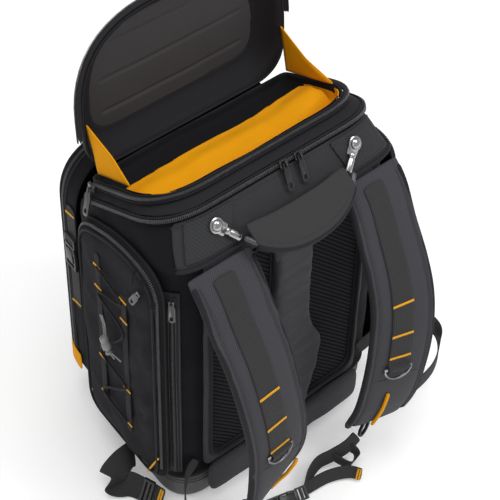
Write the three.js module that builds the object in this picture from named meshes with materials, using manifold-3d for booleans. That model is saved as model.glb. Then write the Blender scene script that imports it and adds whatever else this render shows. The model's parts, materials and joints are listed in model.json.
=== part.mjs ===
// Tool backpack: moulded base, hollow cloth body, top tray with an open moulded lid, shoulder straps.
// Millimetres, +Z up. The origin is the middle of the base's underside. The straps are on the -Y side,
// the front pocket on the +Y side, and +X is to the right of someone who looks at the straps.
import * as THREE from 'three';
import { mergeVertices } from 'three/addons/utils/BufferGeometryUtils.js';
import Module from 'manifold-3d';

const wasm = await Module();
wasm.setup();

// Clearances and cloth
const GAP = 0.3;
const SEWN_GAP = 0.8;
const BODY_WALL = 3;
const POCKET_WALL = 2;
const WEBBING = 1.8;
const CORNER_STEPS = 6;

// Bag body
const BODY_HALF_BACK = 172;
const BODY_HALF_FRONT = 152;
const BODY_BACK = -103;
const BODY_FRONT = 95;
const BODY_CORNER_BACK = 46;
const BODY_CORNER_FRONT = 22;
const SHOULDER_Z = 421.5;
const SHOULDER_BACK = -110.5;
const SHOULDER_FALL = 38;

// Moulded base
const BASE_HEIGHT = 42;
const BASE_WALL = 4;
const BASE_FRONT = 126;
const BASE_BACK = -107;
const BASE_TUCK_BACK = 5;
const BASE_TUCK_FRONT = 10;
const BASE_CORNER = 52;
const BASE_FOOT_ROUND = 6;
const STEP_Z = 58;

// Top tray, on a plane that falls towards the front
const HINGE_Y = 68;
const HINGE_Z = 436;
const TOP_TILT = THREE.MathUtils.degToRad(22.4);
const RIM_HALF = 149;
const RIM_LENGTH = 139;
const RIM_CORNER = 62;
const HINGE_CORNER = 12;
const ZIP_OUTSET = 11;
const ZIP_OUTSET_BACK = 16;
const ZIP_DROP = 22;
const ZIP_SIZE = 6;
const COLLAR_WALL = 2.4;
const TRAY_FLOOR_Z = 428;
const TRAY_WALL = 2.4;
const TRAY_CROWN = 3;

// Lid
const LID_LEAN = THREE.MathUtils.degToRad(3);
const LID_LENGTH = 190;
const LID_CORNER = LID_LENGTH * 0.58;
const LID_HINGE_CORNER = LID_LENGTH * 0.26;
const LID_DEPTH = 34;
const LID_WALL = 3;
const LID_DRAFT = 20;
const LID_START = 0.1;
const LINER_THICK = 2.4;
const LINER_MARGIN = 32;
const GROOVE_DEPTH = 1.2;
const GROOVE_WIDTH = 7;
const GUSSET_THICK = 1.2;
const GUSSET_SPREAD = 1.5;

// Front and side pockets
const POCKET_FRONT = 149;
const POCKET_HALF = 152;
const POCKET_TOP = 427;
const POCKET_TOP_ROUND = 75;
const SIDE_POCKET_DEPTH = 16;
const SIDE_POCKET_BACK = -98;
const SIDE_POCKET_FRONT = 74;
const SIDE_POCKET_TOP = 412;
const SIDE_POCKET_BOTTOM = 54;

// Back padding
const PANEL_THICK = 8.4;
const PANEL_HALF = 128;
const PANEL_BOTTOM = STEP_Z + SEWN_GAP;
const WINDOW_INNER = 26;
const WINDOW_OUTER = 118;
const WINDOW_BOTTOM = 72;
const WINDOW_TOP = 396;
const MESH_THICK = 3.6;
const SPINE_THICK = 8;
const LUMBAR_THICK = 10;
const LUMBAR_BOTTOM = 12;
const LUMBAR_TOP = 66;

// Shoulder straps
const PAD_WIDTH = 90;
const PAD_STATIONS = 16;
const PAD_THICK = 13;
const PAD_TOP_THICK = 8;
const STRAP_WEBBING_WIDTH = 30;
const WEBBING_START = 0.03;
const WEBBING_END = 0.675;
const RING_WIRE = 3.6;
const RING_HALF = 19;
const RING_DEPTH = 16;
const RING_LIFT = 0.12;
const RING_PLAY = 0.6;
const RAIL_WIDTH = 5;
const RAIL_START = 0.78;
const LOWER_WEBBING_WIDTH = 25;

// Handle
const RIVET_SHARE = 0.36;
const RIVET_RADIUS = 9;
const RIVET_RISE = 5.5;
const TAB_LENGTH = 22;
const TAB_WIDTH = 15;
const TAB_THICK = 1.6;
const FERRULE_WIDTH = 10;
const FERRULE_THICK = 7;
const CABLE_RADIUS = 3.6;
const GRIP_HALF = 74;
const GRIP_THICK = 11;

// Chest strap and waist belt
const CHEST_WIDTH = 20;
const BELT_WIDTH = 34;

// Lacing on the left side pocket
const LACE_WIDTH = 12;
const BUNGEE_RADIUS = 1.6;

// Zip sliders and pulls
const SLIDER_LENGTH = 11;
const SLIDER_WIDTH = 8;
const SLIDER_HEIGHT = 3.6;
const BAIL_HALF = 3.4;
const BAIL_BAR = 1.4;
const BAIL_THICK = 1.8;
const PIN_SIZE = 1.6;
const PIN_PLAY = 0.8;
const PULL_THICK = 1.6;

const finish = (color, roughness, metalness = 0) => new THREE.MeshStandardMaterial({ color, roughness, metalness });
const blackCloth = finish(0x1c1d20, 0.85);
const ribbedCloth = finish(0x222327, 0.9);
const padCloth = finish(0x3a3b40, 0.85);
const meshCloth = finish(0x141416, 0.9);
const webbingBlack = finish(0x18181a, 0.8);
const yellowCloth = finish(0xf2a900, 0.8);
const moulded = finish(0x2b2b2d, 0.6);
const linerGrey = finish(0x3b3836, 0.7);
const rubber = finish(0x3a3c40, 0.55);
const gripLeather = finish(0x3a3533, 0.55);
const blackPlastic = finish(0x121213, 0.45);
const blackMetal = finish(0x1b1b1d, 0.35, 0.8);
const chrome = finish(0xd8d8da, 0.15, 1);

const bag = new THREE.Group();
const vec = (x, y, z) => new THREE.Vector3(x, y, z);
const { lerp } = THREE.MathUtils;

function addPiece(name, geometry, material, parent = bag) {
  const mesh = new THREE.Mesh(geometry, material);
  mesh.name = name;
  parent.add(mesh);
  return mesh;
}

// Shape helpers

function geometryFrom(positions, indices) {
  const geometry = new THREE.BufferGeometry();
  geometry.setAttribute('position', new THREE.Float32BufferAttribute(positions, 3));
  geometry.setIndex(indices);
  return facingOut(geometry);
}

// Turns every face round when the closed mesh has a negative volume.
function facingOut(geometry) {
  const place = geometry.attributes.position;
  const index = geometry.index.array;
  const a = vec(0, 0, 0);
  const b = vec(0, 0, 0);
  const c = vec(0, 0, 0);
  let volume = 0;
  for (let i = 0; i < index.length; i += 3) {
    a.fromBufferAttribute(place, index[i]);
    b.fromBufferAttribute(place, index[i + 1]);
    c.fromBufferAttribute(place, index[i + 2]);
    volume += a.dot(b.cross(c));
  }
  if (volume < 0) {
    for (let i = 0; i < index.length; i += 3) {
      [index[i + 1], index[i + 2]] = [index[i + 2], index[i + 1]];
    }
  }
  geometry.computeVertexNormals();
  return geometry;
}

// Joins rings of equal length into one closed body, with a fan at each end or with the ends joined.
function loft(rings, { closed = false, startRise, endRise } = {}) {
  const count = rings[0].length;
  const positions = rings.flat().flatMap((point) => point.toArray());
  const indices = [];
  const spans = closed ? rings.length : rings.length - 1;
  for (let row = 0; row < spans; row += 1) {
    const next = (row + 1) % rings.length;
    for (let i = 0; i < count; i += 1) {
      const j = (i + 1) % count;
      indices.push(row * count + i, row * count + j, next * count + j);
      indices.push(row * count + i, next * count + j, next * count + i);
    }
  }
  if (!closed) {
    addFan(positions, indices, rings[0], 0, true, startRise);
    addFan(positions, indices, rings.at(-1), (rings.length - 1) * count, false, endRise);
  }
  return geometryFrom(positions, indices);
}

function addFan(positions, indices, ring, offset, flip, rise = vec(0, 0, 0)) {
  const middle = vec(0, 0, 0);
  ring.forEach((point) => middle.add(point));
  middle.divideScalar(ring.length).add(rise);
  const hub = positions.length / 3;
  positions.push(...middle.toArray());
  ring.forEach((_, i) => {
    const j = (i + 1) % ring.length;
    indices.push(...(flip ? [hub, offset + j, offset + i] : [hub, offset + i, offset + j]));
  });
}

// A closed outline of corners, each rounded by a smooth bend that starts `round` before the corner.
function roundedOutline(corners, steps = CORNER_STEPS) {
  return corners.flatMap((corner, i) => {
    const here = new THREE.Vector2(corner.x, corner.y);
    const before = corners.at(i - 1);
    const after = corners[(i + 1) % corners.length];
    const toBefore = new THREE.Vector2(before.x, before.y).sub(here).setLength(corner.round);
    const toAfter = new THREE.Vector2(after.x, after.y).sub(here).setLength(corner.round);
    const bend = new THREE.QuadraticBezierCurve(toBefore.add(here), here, toAfter.add(here));
    return bend.getPoints(steps);
  });
}

// Four rounded corners: back left, back right, front right, front left.
function fourCorners({ back, front, halfBack, halfFront, cornerBack, cornerFront }, inset = 0) {
  const roundBack = Math.max(cornerBack - inset * 0.6, 2);
  const roundFront = Math.max(cornerFront - inset * 0.6, 2);
  return roundedOutline([
    { x: -halfBack + inset, y: back + inset, round: roundBack },
    { x: halfBack - inset, y: back + inset, round: roundBack },
    { x: halfFront - inset, y: front - inset, round: roundFront },
    { x: -halfFront + inset, y: front - inset, round: roundFront },
  ]);
}

// Sweeps a flat section through stations, each with a place, a side, an up and a size.
function sweep(stations, section, options) {
  return loft(stations.map(({ at, side, up, wide, thick }) => section.map(([a, b]) => at.clone()
    .addScaledVector(side, a * wide)
    .addScaledVector(up, b * thick))), options);
}

const flatSection = [[-0.5, -0.5], [0.5, -0.5], [0.5, 0.5], [-0.5, 0.5]];
const padSection = [
  [-0.5, -0.12], [-0.46, -0.34], [-0.3, -0.5], [0.3, -0.5], [0.46, -0.34], [0.5, -0.12],
  [0.5, 0.12], [0.46, 0.34], [0.3, 0.5], [-0.3, 0.5], [-0.46, 0.34], [-0.5, 0.12],
];

function roundSection(sides) {
  return Array.from({ length: sides }, (_, i) => {
    const turn = (i / sides) * Math.PI * 2;
    return [Math.cos(turn), Math.sin(turn)];
  });
}

// Stations along a curve whose side stays as near as it can to the wanted side.
function stationsOn(curve, count, sideAt, wide, thick, from = 0) {
  return Array.from({ length: count + 1 }, (_, i) => {
    const share = lerp(from, 1, i / count);
    const along = curve.getTangentAt(share);
    const side = sideAt(share).clone();
    side.addScaledVector(along, -side.dot(along)).normalize();
    return {
      at: curve.getPointAt(share),
      side,
      up: side.clone().cross(along).normalize(),
      along,
      wide: typeof wide === 'function' ? wide(share) : wide,
      thick: typeof thick === 'function' ? thick(share) : thick,
    };
  });
}

function smoothCurve(points, closed = false) {
  return new THREE.CatmullRomCurve3(points, closed, 'centripetal');
}

function ribbon(points, side, wide, thick = WEBBING, count = points.length * 3) {
  return sweep(stationsOn(smoothCurve(points), count, () => side, wide, thick), flatSection);
}

// A round tube along a curve, closed at both ends.
function tube(curve, radius, sides, steps) {
  const shape = new THREE.Shape(roundSection(sides).map(([a, b]) => new THREE.Vector2(a * radius, b * radius)));
  const geometry = new THREE.ExtrudeGeometry(shape, { steps, extrudePath: curve, bevelEnabled: false });
  return facingOut(merged(geometry));
}

function merged(geometry) {
  const bare = geometry.index ? geometry.toNonIndexed() : geometry.clone();
  bare.deleteAttribute('normal');
  bare.deleteAttribute('uv');
  return mergeVertices(bare, 1e-4);
}

// A slab cut from an outline with holes, its back face on z = 0.
function slab(outline, thick, holes = []) {
  const shape = new THREE.Shape(outline);
  holes.forEach((hole) => shape.holes.push(new THREE.Path(hole)));
  return facingOut(merged(new THREE.ExtrudeGeometry(shape, { depth: thick, bevelEnabled: false, curveSegments: 5 })));
}

// Gives a folded sheet of triangles a thickness on both sides.
function thickSheet(corners, triangles, thick) {
  const normals = corners.map(() => vec(0, 0, 0));
  triangles.forEach(([a, b, c]) => {
    const face = corners[b].clone().sub(corners[a]).cross(corners[c].clone().sub(corners[a])).normalize();
    [a, b, c].forEach((k) => normals[k].add(face));
  });
  const positions = [1, -1].flatMap((way) => corners.flatMap((point, i) => point.clone()
    .addScaledVector(normals[i].normalize(), way * thick / 2).toArray()));
  const count = corners.length;
  const indices = triangles.flatMap(([a, b, c]) => [a, b, c, a + count, c + count, b + count]);
  const edges = new Map();
  triangles.forEach(([a, b, c]) => [[a, b], [b, c], [c, a]].forEach(([p, q]) => {
    const back = `${q} ${p}`;
    if (edges.has(back)) edges.delete(back);
    else edges.set(`${p} ${q}`, [p, q]);
  }));
  edges.forEach(([p, q]) => indices.push(q, p, p + count, q, p + count, q + count));
  return geometryFrom(positions, indices);
}

// Booleans

function solid(geometry) {
  const mesh = merged(geometry);
  return new wasm.Manifold(new wasm.Mesh({
    numProp: 3,
    vertProperties: new Float32Array(mesh.attributes.position.array),
    triVerts: new Uint32Array(mesh.index.array),
  }));
}

function fromSolid(result) {
  const mesh = result.getMesh();
  return geometryFrom(Array.from(mesh.vertProperties), Array.from(mesh.triVerts));
}

const join = (first, ...others) => fromSolid(others.reduce((sum, piece) => sum.add(solid(piece)), solid(first)));
const cut = (first, ...others) => fromSolid(others.reduce((rest, piece) => rest.subtract(solid(piece)), solid(first)));

// Frames that the pieces share

const top = new THREE.Group();
top.position.set(0, HINGE_Y, HINGE_Z);
top.rotation.x = -TOP_TILT;
top.updateMatrixWorld();
bag.add(top);
const onTop = (x, y, z) => vec(x, y, z).applyMatrix4(top.matrixWorld);

const lid = new THREE.Group();
lid.position.set(0, HINGE_Y, HINGE_Z);
lid.rotation.x = Math.PI / 2 - LID_LEAN;
lid.updateMatrixWorld();
bag.add(lid);
const onLid = (x, y, z) => vec(x, y, z).applyMatrix4(lid.matrixWorld);

const rimOutline = (inset = 0) => fourCorners({
  back: -RIM_LENGTH,
  front: 0,
  halfBack: RIM_HALF,
  halfFront: RIM_HALF,
  cornerBack: RIM_CORNER,
  cornerFront: HINGE_CORNER,
}, inset);

const zipOutline = (inset = 0) => fourCorners({
  back: -RIM_LENGTH - ZIP_OUTSET_BACK,
  front: ZIP_OUTSET,
  halfBack: RIM_HALF + ZIP_OUTSET,
  halfFront: RIM_HALF + ZIP_OUTSET,
  cornerBack: RIM_CORNER,
  cornerFront: HINGE_CORNER + ZIP_OUTSET,
}, inset);

const lift = (outline, z) => outline.map(({ x, y }) => vec(x, y, z));

// Moulded base, a tray with a rounded foot

const basePlan = {
  back: BASE_BACK,
  front: BASE_FRONT,
  halfBack: BODY_HALF_BACK - BASE_TUCK_BACK,
  halfFront: BODY_HALF_FRONT - BASE_TUCK_FRONT,
  cornerBack: BASE_CORNER,
  cornerFront: BASE_CORNER,
};

function buildBase() {
  const rows = [
    { inset: BASE_WALL + 2, z: BASE_WALL },
    { inset: BASE_WALL, z: BASE_WALL + 3 },
    { inset: BASE_WALL, z: BASE_HEIGHT },
    { inset: 0, z: BASE_HEIGHT },
    { inset: 0, z: BASE_FOOT_ROUND + 6 },
    { inset: 2, z: BASE_FOOT_ROUND * 0.4 },
    { inset: BASE_FOOT_ROUND, z: 0 },
  ];
  addPiece('base_tray', loft(rows.map(({ inset, z }) => lift(fourCorners(basePlan, inset), z))), rubber);
}

// Cloth body. Each row is a level of the wall, and the inside repeats the rows one wall further in.

const inBase = { ...basePlan, shrink: BASE_WALL + GAP };
const bodyPlan = {
  back: BODY_BACK,
  front: BODY_FRONT,
  halfBack: BODY_HALF_BACK,
  halfFront: BODY_HALF_FRONT,
  cornerBack: BODY_CORNER_BACK,
  cornerFront: BODY_CORNER_FRONT,
  shrink: 0,
};
const stepPlan = { ...bodyPlan, back: BASE_BACK - 1, front: BASE_FRONT, cornerFront: BASE_CORNER };
const shoulderPlan = { ...bodyPlan, back: SHOULDER_BACK, shrink: 0 };
const shoulderZ = (y) => SHOULDER_Z - SHOULDER_FALL * ((y - SHOULDER_BACK) / (BODY_FRONT - SHOULDER_BACK));

const bodyRows = [
  { plan: inBase, z: BASE_WALL + GAP + 3, extra: 2 },
  { plan: inBase, z: BASE_WALL + GAP + 6 },
  { plan: inBase, z: BASE_HEIGHT + GAP },
  { plan: stepPlan, z: BASE_HEIGHT + GAP + 2, extra: 2 },
  { plan: stepPlan, z: STEP_Z - 4 },
  { plan: bodyPlan, z: STEP_Z },
  { plan: { ...bodyPlan, halfBack: BODY_HALF_BACK + 1.5, halfFront: BODY_HALF_FRONT + 1.5 }, z: 240 },
  { plan: bodyPlan, fall: -1.6 },
  { plan: shoulderPlan, fall: 0 },
];

function bodyRing({ plan, z, fall, extra = 0 }, wall) {
  const outline = fourCorners(plan, plan.shrink + extra + wall);
  return outline.map(({ x, y }) => vec(x, y, z ?? shoulderZ(y) + fall));
}

const bodyTopRing = (wall) => zipOutline(2 + wall).map(({ x, y }) => onTop(x, y, -ZIP_DROP - ZIP_SIZE / 2 - GAP));
const shoulderRing = bodyRing(bodyRows.at(-1), 0);

function buildBody() {
  const outside = [...bodyRows.map((row) => bodyRing(row, 0)), bodyTopRing(0)];
  const inside = [...bodyRows.map((row) => bodyRing(row, BODY_WALL)), bodyTopRing(BODY_WALL)];
  inside[0].forEach((point) => { point.z += BODY_WALL; });
  inside[1].forEach((point) => { point.z += BODY_WALL; });
  addPiece('main_body', loft([...inside, ...outside.reverse()]), blackCloth);
}

// Yoke: the slope between the zip and the shoulder, laid over the body along the back and its corners.

const YOKE_FIRST = 3;
const YOKE_LAST = 2 * CORNER_STEPS + 1 - YOKE_FIRST;
const YOKE_THICK = 2.6;
const YOKE_BINDING = 2;

function ringPoint(ring, place) {
  const low = Math.floor(place);
  const high = Math.min(low + 1, ring.length - 1);
  return ring[low].clone().lerp(ring[high], place - low);
}

// A point on the slope: `place` runs along the back, `share` from the zip down to the lower edge.
function yokePoint(place, share, rise) {
  const upper = ringPoint(bodyTopRing(0), place);
  const lower = ringPoint(shoulderRing, place);
  const down = lower.clone().sub(upper).normalize();
  const along = ringPoint(shoulderRing, Math.min(place + 0.01, YOKE_LAST))
    .sub(ringPoint(shoulderRing, place - 0.01)).normalize();
  const out = down.clone().cross(along).normalize();
  return upper.lerp(lower, share).addScaledVector(out, rise);
}

function buildYoke() {
  const rows = [
    { share: 0.06, rise: SEWN_GAP },
    { share: 0.94, rise: SEWN_GAP },
    { share: 1.03, rise: SEWN_GAP },
    { share: 1.05, rise: SEWN_GAP + YOKE_THICK + YOKE_BINDING },
    { share: 0.92, rise: SEWN_GAP + YOKE_THICK + YOKE_BINDING },
    { share: 0.9, rise: SEWN_GAP + YOKE_THICK },
    { share: 0.06, rise: SEWN_GAP + YOKE_THICK },
  ];
  const rings = [];
  for (let place = YOKE_FIRST; place <= YOKE_LAST; place += 1) {
    rings.push(rows.map(({ share, rise }) => yokePoint(place, share, rise)));
  }
  addPiece('yoke_panel', loft(rings), ribbedCloth);
}

// Tray: zip round the bag, sloping collar, rim zip and the yellow lining

function buildTray() {
  const zipRing = (inset, rise) => lift(zipOutline(inset), -ZIP_DROP + rise);
  addPiece('main_zip', loft([
    zipRing(ZIP_SIZE, -ZIP_SIZE / 2),
    zipRing(-ZIP_SIZE / 3, -ZIP_SIZE / 2),
    zipRing(-ZIP_SIZE / 2, 0),
    zipRing(0, ZIP_SIZE / 2),
    zipRing(ZIP_SIZE, ZIP_SIZE / 2),
  ], { closed: true }), webbingBlack, top);

  const foot = -ZIP_DROP + ZIP_SIZE / 2 + GAP;
  const neck = -ZIP_SIZE - 2.5;
  addPiece('tray_collar', loft([
    lift(zipOutline(1), foot),
    lift(rimOutline(0), neck),
    lift(rimOutline(0), -GAP),
    lift(rimOutline(COLLAR_WALL), -GAP),
    lift(rimOutline(COLLAR_WALL), neck - 1),
    lift(zipOutline(1 + COLLAR_WALL), foot),
  ], { closed: true }), blackCloth, top);

  const rim = rimOutline(0);
  const trayBand = [rim.at(-1), ...rim.slice(0, 2 * CORNER_STEPS + 3)];
  addPiece('tray_rim_zip', zipBand(trayBand, -ZIP_SIZE - 1, -1), webbingBlack, top);

  const floorRing = (inset, z) => rimOutline(inset).map(({ x, y }) => {
    const point = onTop(x, y, 0);
    return vec(point.x, point.y, z);
  });
  const wallTop = (inset) => rimOutline(inset).map(({ x, y }) => onTop(x, y, -1));
  const wallOut = COLLAR_WALL + SEWN_GAP;
  const lining = [
    floorRing(wallOut + TRAY_WALL + 11, TRAY_FLOOR_Z),
    floorRing(wallOut + TRAY_WALL + 6, TRAY_FLOOR_Z + 2),
    wallTop(wallOut + TRAY_WALL),
    wallTop(wallOut),
    floorRing(wallOut + 6, TRAY_FLOOR_Z - 1),
    floorRing(wallOut + 11, TRAY_FLOOR_Z - TRAY_WALL),
  ];
  addPiece('tray_lining', loft(lining, { startRise: vec(0, 0, TRAY_CROWN) }), yellowCloth);
}

// A zip tape just outside an open run of an outline, with a rounded bead of teeth.
function zipBand(run, low, high) {
  const stations = run.map((point, i) => {
    const before = run[Math.max(i - 1, 0)];
    const after = run[Math.min(i + 1, run.length - 1)];
    const along = new THREE.Vector2().subVectors(after, before).normalize();
    const out = SEWN_GAP + ZIP_SIZE / 2;
    return {
      at: vec(point.x + along.y * out, point.y - along.x * out, (low + high) / 2),
      side: vec(along.y, -along.x, 0),
      up: vec(0, 0, 1),
      wide: ZIP_SIZE,
      thick: high - low,
    };
  });
  return sweep(stations, [[-0.5, -0.5], [0.25, -0.5], [0.5, -0.15], [0.5, 0.15], [0.25, 0.5], [-0.5, 0.5]]);
}

// Lid: a moulded shell, open towards the straps, with its grooved liner and its half of the zip

const lidOutline = (inset = 0) => fourCorners({
  back: LID_START,
  front: LID_START + LID_LENGTH,
  halfBack: RIM_HALF,
  halfFront: RIM_HALF,
  cornerBack: LID_HINGE_CORNER,
  cornerFront: LID_CORNER,
}, inset);

function buildLid() {
  const rows = [
    { inset: LID_WALL + LID_DRAFT + 8, z: -LID_DEPTH + LID_WALL },
    { inset: LID_WALL + LID_DRAFT, z: -LID_DEPTH + LID_WALL + 3 },
    { inset: LID_WALL + 4, z: -9 },
    { inset: LID_WALL, z: 0 },
    { inset: 0, z: 0 },
    { inset: 2, z: -10 },
    { inset: LID_DRAFT - 2, z: -LID_DEPTH + 4 },
    { inset: LID_DRAFT + 7, z: -LID_DEPTH },
  ];
  addPiece('lid_shell', loft(rows.map(({ inset, z }) => lift(lidOutline(inset), z))), moulded, lid);

  const grooves = [
    { height: 0.27, half: 0.9 },
    { height: 0.5, half: 0.9 },
    { height: 0.73, half: 0.74 },
  ];
  const face = -LID_DEPTH + LID_WALL + GAP;
  const plate = slab(lidOutline(LINER_MARGIN), LINER_THICK);
  const channels = grooves.map(({ height, half }) => {
    const reach = half * (RIM_HALF - LINER_MARGIN);
    const y = LID_START + height * LID_LENGTH;
    const slot = roundedOutline([
      { x: -reach, y: y - GROOVE_WIDTH / 2, round: GROOVE_WIDTH / 2.2 },
      { x: reach, y: y - GROOVE_WIDTH / 2, round: GROOVE_WIDTH / 2.2 },
      { x: reach, y: y + GROOVE_WIDTH / 2, round: GROOVE_WIDTH / 2.2 },
      { x: -reach, y: y + GROOVE_WIDTH / 2, round: GROOVE_WIDTH / 2.2 },
    ], 3);
    return slab(slot, GROOVE_DEPTH * 2).translate(0, 0, LINER_THICK - GROOVE_DEPTH);
  });
  addPiece('lid_liner', cut(plate, ...channels).translate(0, 0, face), linerGrey, lid);

  const edge = lidOutline(0);
  const lidRun = [...edge.slice(2 * CORNER_STEPS + 2), edge[0]];
  addPiece('lid_rim_zip', zipBand(lidRun, -ZIP_SIZE, 0), webbingBlack, lid);
}

// Gussets: a folded yellow triangle at each end, from the lid's side to the tray's side

const gussetKinds = [
  { name: 'left', hand: -1, lidReach: 71, trayReach: 74, tuck: 3 },
  { name: 'right', hand: 1, lidReach: 66, trayReach: 97, tuck: 5 },
];

function buildGusset({ name, hand, lidReach, trayReach, tuck }) {
  const x = hand * (RIM_HALF - COLLAR_WALL - SEWN_GAP - TRAY_WALL - GUSSET_THICK);
  const hinge = onTop(x, -HINGE_CORNER, 4);
  const onLidSide = onLid(x + hand * GUSSET_SPREAD, lidReach, -3);
  const onTraySide = onTop(x, -trayReach, 1.5);
  const fold = onLidSide.clone().lerp(onTraySide, 0.55);
  fold.x -= hand * tuck;
  const inner = hinge.clone().lerp(fold, 0.5);
  inner.x -= hand * tuck * 0.1;
  const corners = [hinge, onLidSide, fold, onTraySide, inner];
  const triangles = [[0, 1, 4], [1, 2, 4], [4, 2, 3], [0, 4, 3]];
  addPiece(`gusset_${name}`, thickSheet(corners, triangles, GUSSET_THICK), yellowCloth);
}

// Front pocket: a cloth dish that is open against the body, with its trim, strap and buckle

const pocketRing = (inset, y) => roundedOutline([
  { x: -POCKET_HALF + inset, y: STEP_Z + SEWN_GAP + inset, round: 26 },
  { x: POCKET_HALF - inset, y: STEP_Z + SEWN_GAP + inset, round: 26 },
  { x: POCKET_HALF - inset, y: POCKET_TOP - inset, round: POCKET_TOP_ROUND - inset },
  { x: -POCKET_HALF + inset, y: POCKET_TOP - inset, round: POCKET_TOP_ROUND - inset },
]).map((point) => vec(point.x, y, point.y));

function buildFrontPocket() {
  const seat = BODY_FRONT + SEWN_GAP;
  const rows = [
    { inset: 40, y: POCKET_FRONT - POCKET_WALL },
    { inset: 14, y: POCKET_FRONT - POCKET_WALL - 9 },
    { inset: 3 + POCKET_WALL, y: POCKET_FRONT - 28 },
    { inset: POCKET_WALL, y: seat },
    { inset: 0, y: seat },
    { inset: 3, y: POCKET_FRONT - 28 },
    { inset: 12, y: POCKET_FRONT - 9 },
    { inset: 38, y: POCKET_FRONT },
  ];
  addPiece('front_pocket', loft(rows.map(({ inset, y }) => pocketRing(inset, y))), blackCloth);

  // The trim and the strap follow the pocket's rounded front corner at their own heights.
  const corner = [
    { x: -POCKET_HALF - 1.2, y: seat + 10 },
    { x: -POCKET_HALF + 1.8, y: POCKET_FRONT - 26 },
    { x: -POCKET_HALF + 11, y: POCKET_FRONT - 7.5 },
    { x: -POCKET_HALF + 40, y: POCKET_FRONT + 2.2 },
  ];
  const trimZ = STEP_Z + 26;
  const trim = corner.map(({ x, y }) => vec(x, y, trimZ));
  addPiece('front_accent', ribbon(trim, vec(0, 0, 1), 30), yellowCloth);

  const strapX = -POCKET_HALF + 1.2 - GAP - WEBBING / 2;
  const strapY = seat + 10;
  const strapTop = POCKET_TOP - 62;
  const strapBottom = strapTop - 175;
  const run = [0, 0.3, 0.7, 1].map((share) => vec(strapX, strapY, lerp(strapTop, strapBottom, share)));
  addPiece('front_strap', ribbon(run, vec(0.12, 1, 0), 20), webbingBlack);
  const buckle = new THREE.BoxGeometry(6, 24, 52);
  buckle.rotateZ(-0.12).translate(strapX - WEBBING / 2 - GAP - 3.2, strapY, lerp(strapTop, strapBottom, 0.42));
  addPiece('front_buckle', buckle, blackPlastic);
}

// Side pockets: bulging dishes on the tapered sides

const sideSlope = (BODY_HALF_FRONT - BODY_HALF_BACK) / (BODY_FRONT - BODY_BACK);
const SIDE_BULGE = 1.5;

// A point on a side of the bag: y along the bag, z up and `out` away from the wall.
function onSide(hand, y, z, out) {
  const wall = BODY_HALF_BACK + sideSlope * (y - BODY_BACK);
  return vec(hand * (wall + SIDE_BULGE + out), y, z);
}

const sidePocketRing = (hand, inset, out) => roundedOutline([
  { x: SIDE_POCKET_BACK + inset, y: SIDE_POCKET_BOTTOM + inset, round: 30 },
  { x: SIDE_POCKET_FRONT - inset, y: SIDE_POCKET_BOTTOM + inset, round: 30 },
  { x: SIDE_POCKET_FRONT - inset, y: SIDE_POCKET_TOP - 26 - inset, round: 34 },
  { x: lerp(SIDE_POCKET_BACK, SIDE_POCKET_FRONT, 0.45), y: SIDE_POCKET_TOP + 8 - inset, round: 40 },
  { x: SIDE_POCKET_BACK + inset, y: SIDE_POCKET_TOP - inset, round: 34 },
], 4).map((point) => onSide(hand, point.x, point.y, out));

function buildSidePocket(name, hand) {
  const rows = [
    { inset: 26, out: SIDE_POCKET_DEPTH - POCKET_WALL },
    { inset: 9, out: SIDE_POCKET_DEPTH - POCKET_WALL - 3 },
    { inset: POCKET_WALL, out: SEWN_GAP + 4 },
    { inset: POCKET_WALL, out: SEWN_GAP },
    { inset: 0, out: SEWN_GAP },
    { inset: 1, out: SEWN_GAP + 5 },
    { inset: 7, out: SIDE_POCKET_DEPTH - 3 },
    { inset: 24, out: SIDE_POCKET_DEPTH },
  ];
  const pocket = loft(rows.map(({ inset, out }) => sidePocketRing(hand, inset, out)));
  const frame = placed(
    onSide(hand, SIDE_POCKET_BACK + 26, SIDE_POCKET_TOP - 26, SIDE_POCKET_DEPTH - 1),
    vec(0, 0.5, -0.86),
    vec(hand, 0, 0),
  );
  addPiece(`side_pocket_${name}`, join(pocket, sliderShape().applyMatrix4(frame)), blackCloth);
  addPull(`pocket_pull_${name}`, frame, { length: 32, width: 9, tilt: 0.03, material: blackMetal });
}

// Zip sliders and pulls, made at the origin: x along the zip, -y the way the pull hangs, z outwards

const PIN_HEIGHT = SLIDER_HEIGHT + 0.4 + PIN_SIZE / 2 + PIN_PLAY;

function placed(at, hang, out) {
  const up = out.clone().normalize();
  const back = hang.clone().negate().addScaledVector(up, hang.dot(up)).normalize();
  return new THREE.Matrix4().makeBasis(back.clone().cross(up), back, up).setPosition(at);
}

function sliderShape() {
  const body = new THREE.BoxGeometry(SLIDER_LENGTH, SLIDER_WIDTH, SLIDER_HEIGHT).translate(0, 0, SLIDER_HEIGHT / 2);
  const windowHalf = BAIL_HALF - BAIL_BAR;
  const top = PIN_HEIGHT + PIN_SIZE / 2 + PIN_PLAY;
  const bail = new THREE.Shape([
    new THREE.Vector2(-BAIL_HALF, SLIDER_HEIGHT / 2),
    new THREE.Vector2(BAIL_HALF, SLIDER_HEIGHT / 2),
    new THREE.Vector2(BAIL_HALF, top),
    new THREE.Vector2(BAIL_HALF - 1, top + BAIL_BAR),
    new THREE.Vector2(-BAIL_HALF + 1, top + BAIL_BAR),
    new THREE.Vector2(-BAIL_HALF, top),
  ]);
  bail.holes.push(new THREE.Path([
    new THREE.Vector2(-windowHalf, SLIDER_HEIGHT + 0.4),
    new THREE.Vector2(-windowHalf, top),
    new THREE.Vector2(windowHalf, top),
    new THREE.Vector2(windowHalf, SLIDER_HEIGHT + 0.4),
  ]));
  const arch = new THREE.ExtrudeGeometry(bail, { depth: BAIL_THICK, bevelEnabled: false });
  arch.rotateX(Math.PI / 2).rotateZ(Math.PI / 2).translate(-BAIL_THICK / 2, 0, 0);
  return join(body, arch);
}

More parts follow.
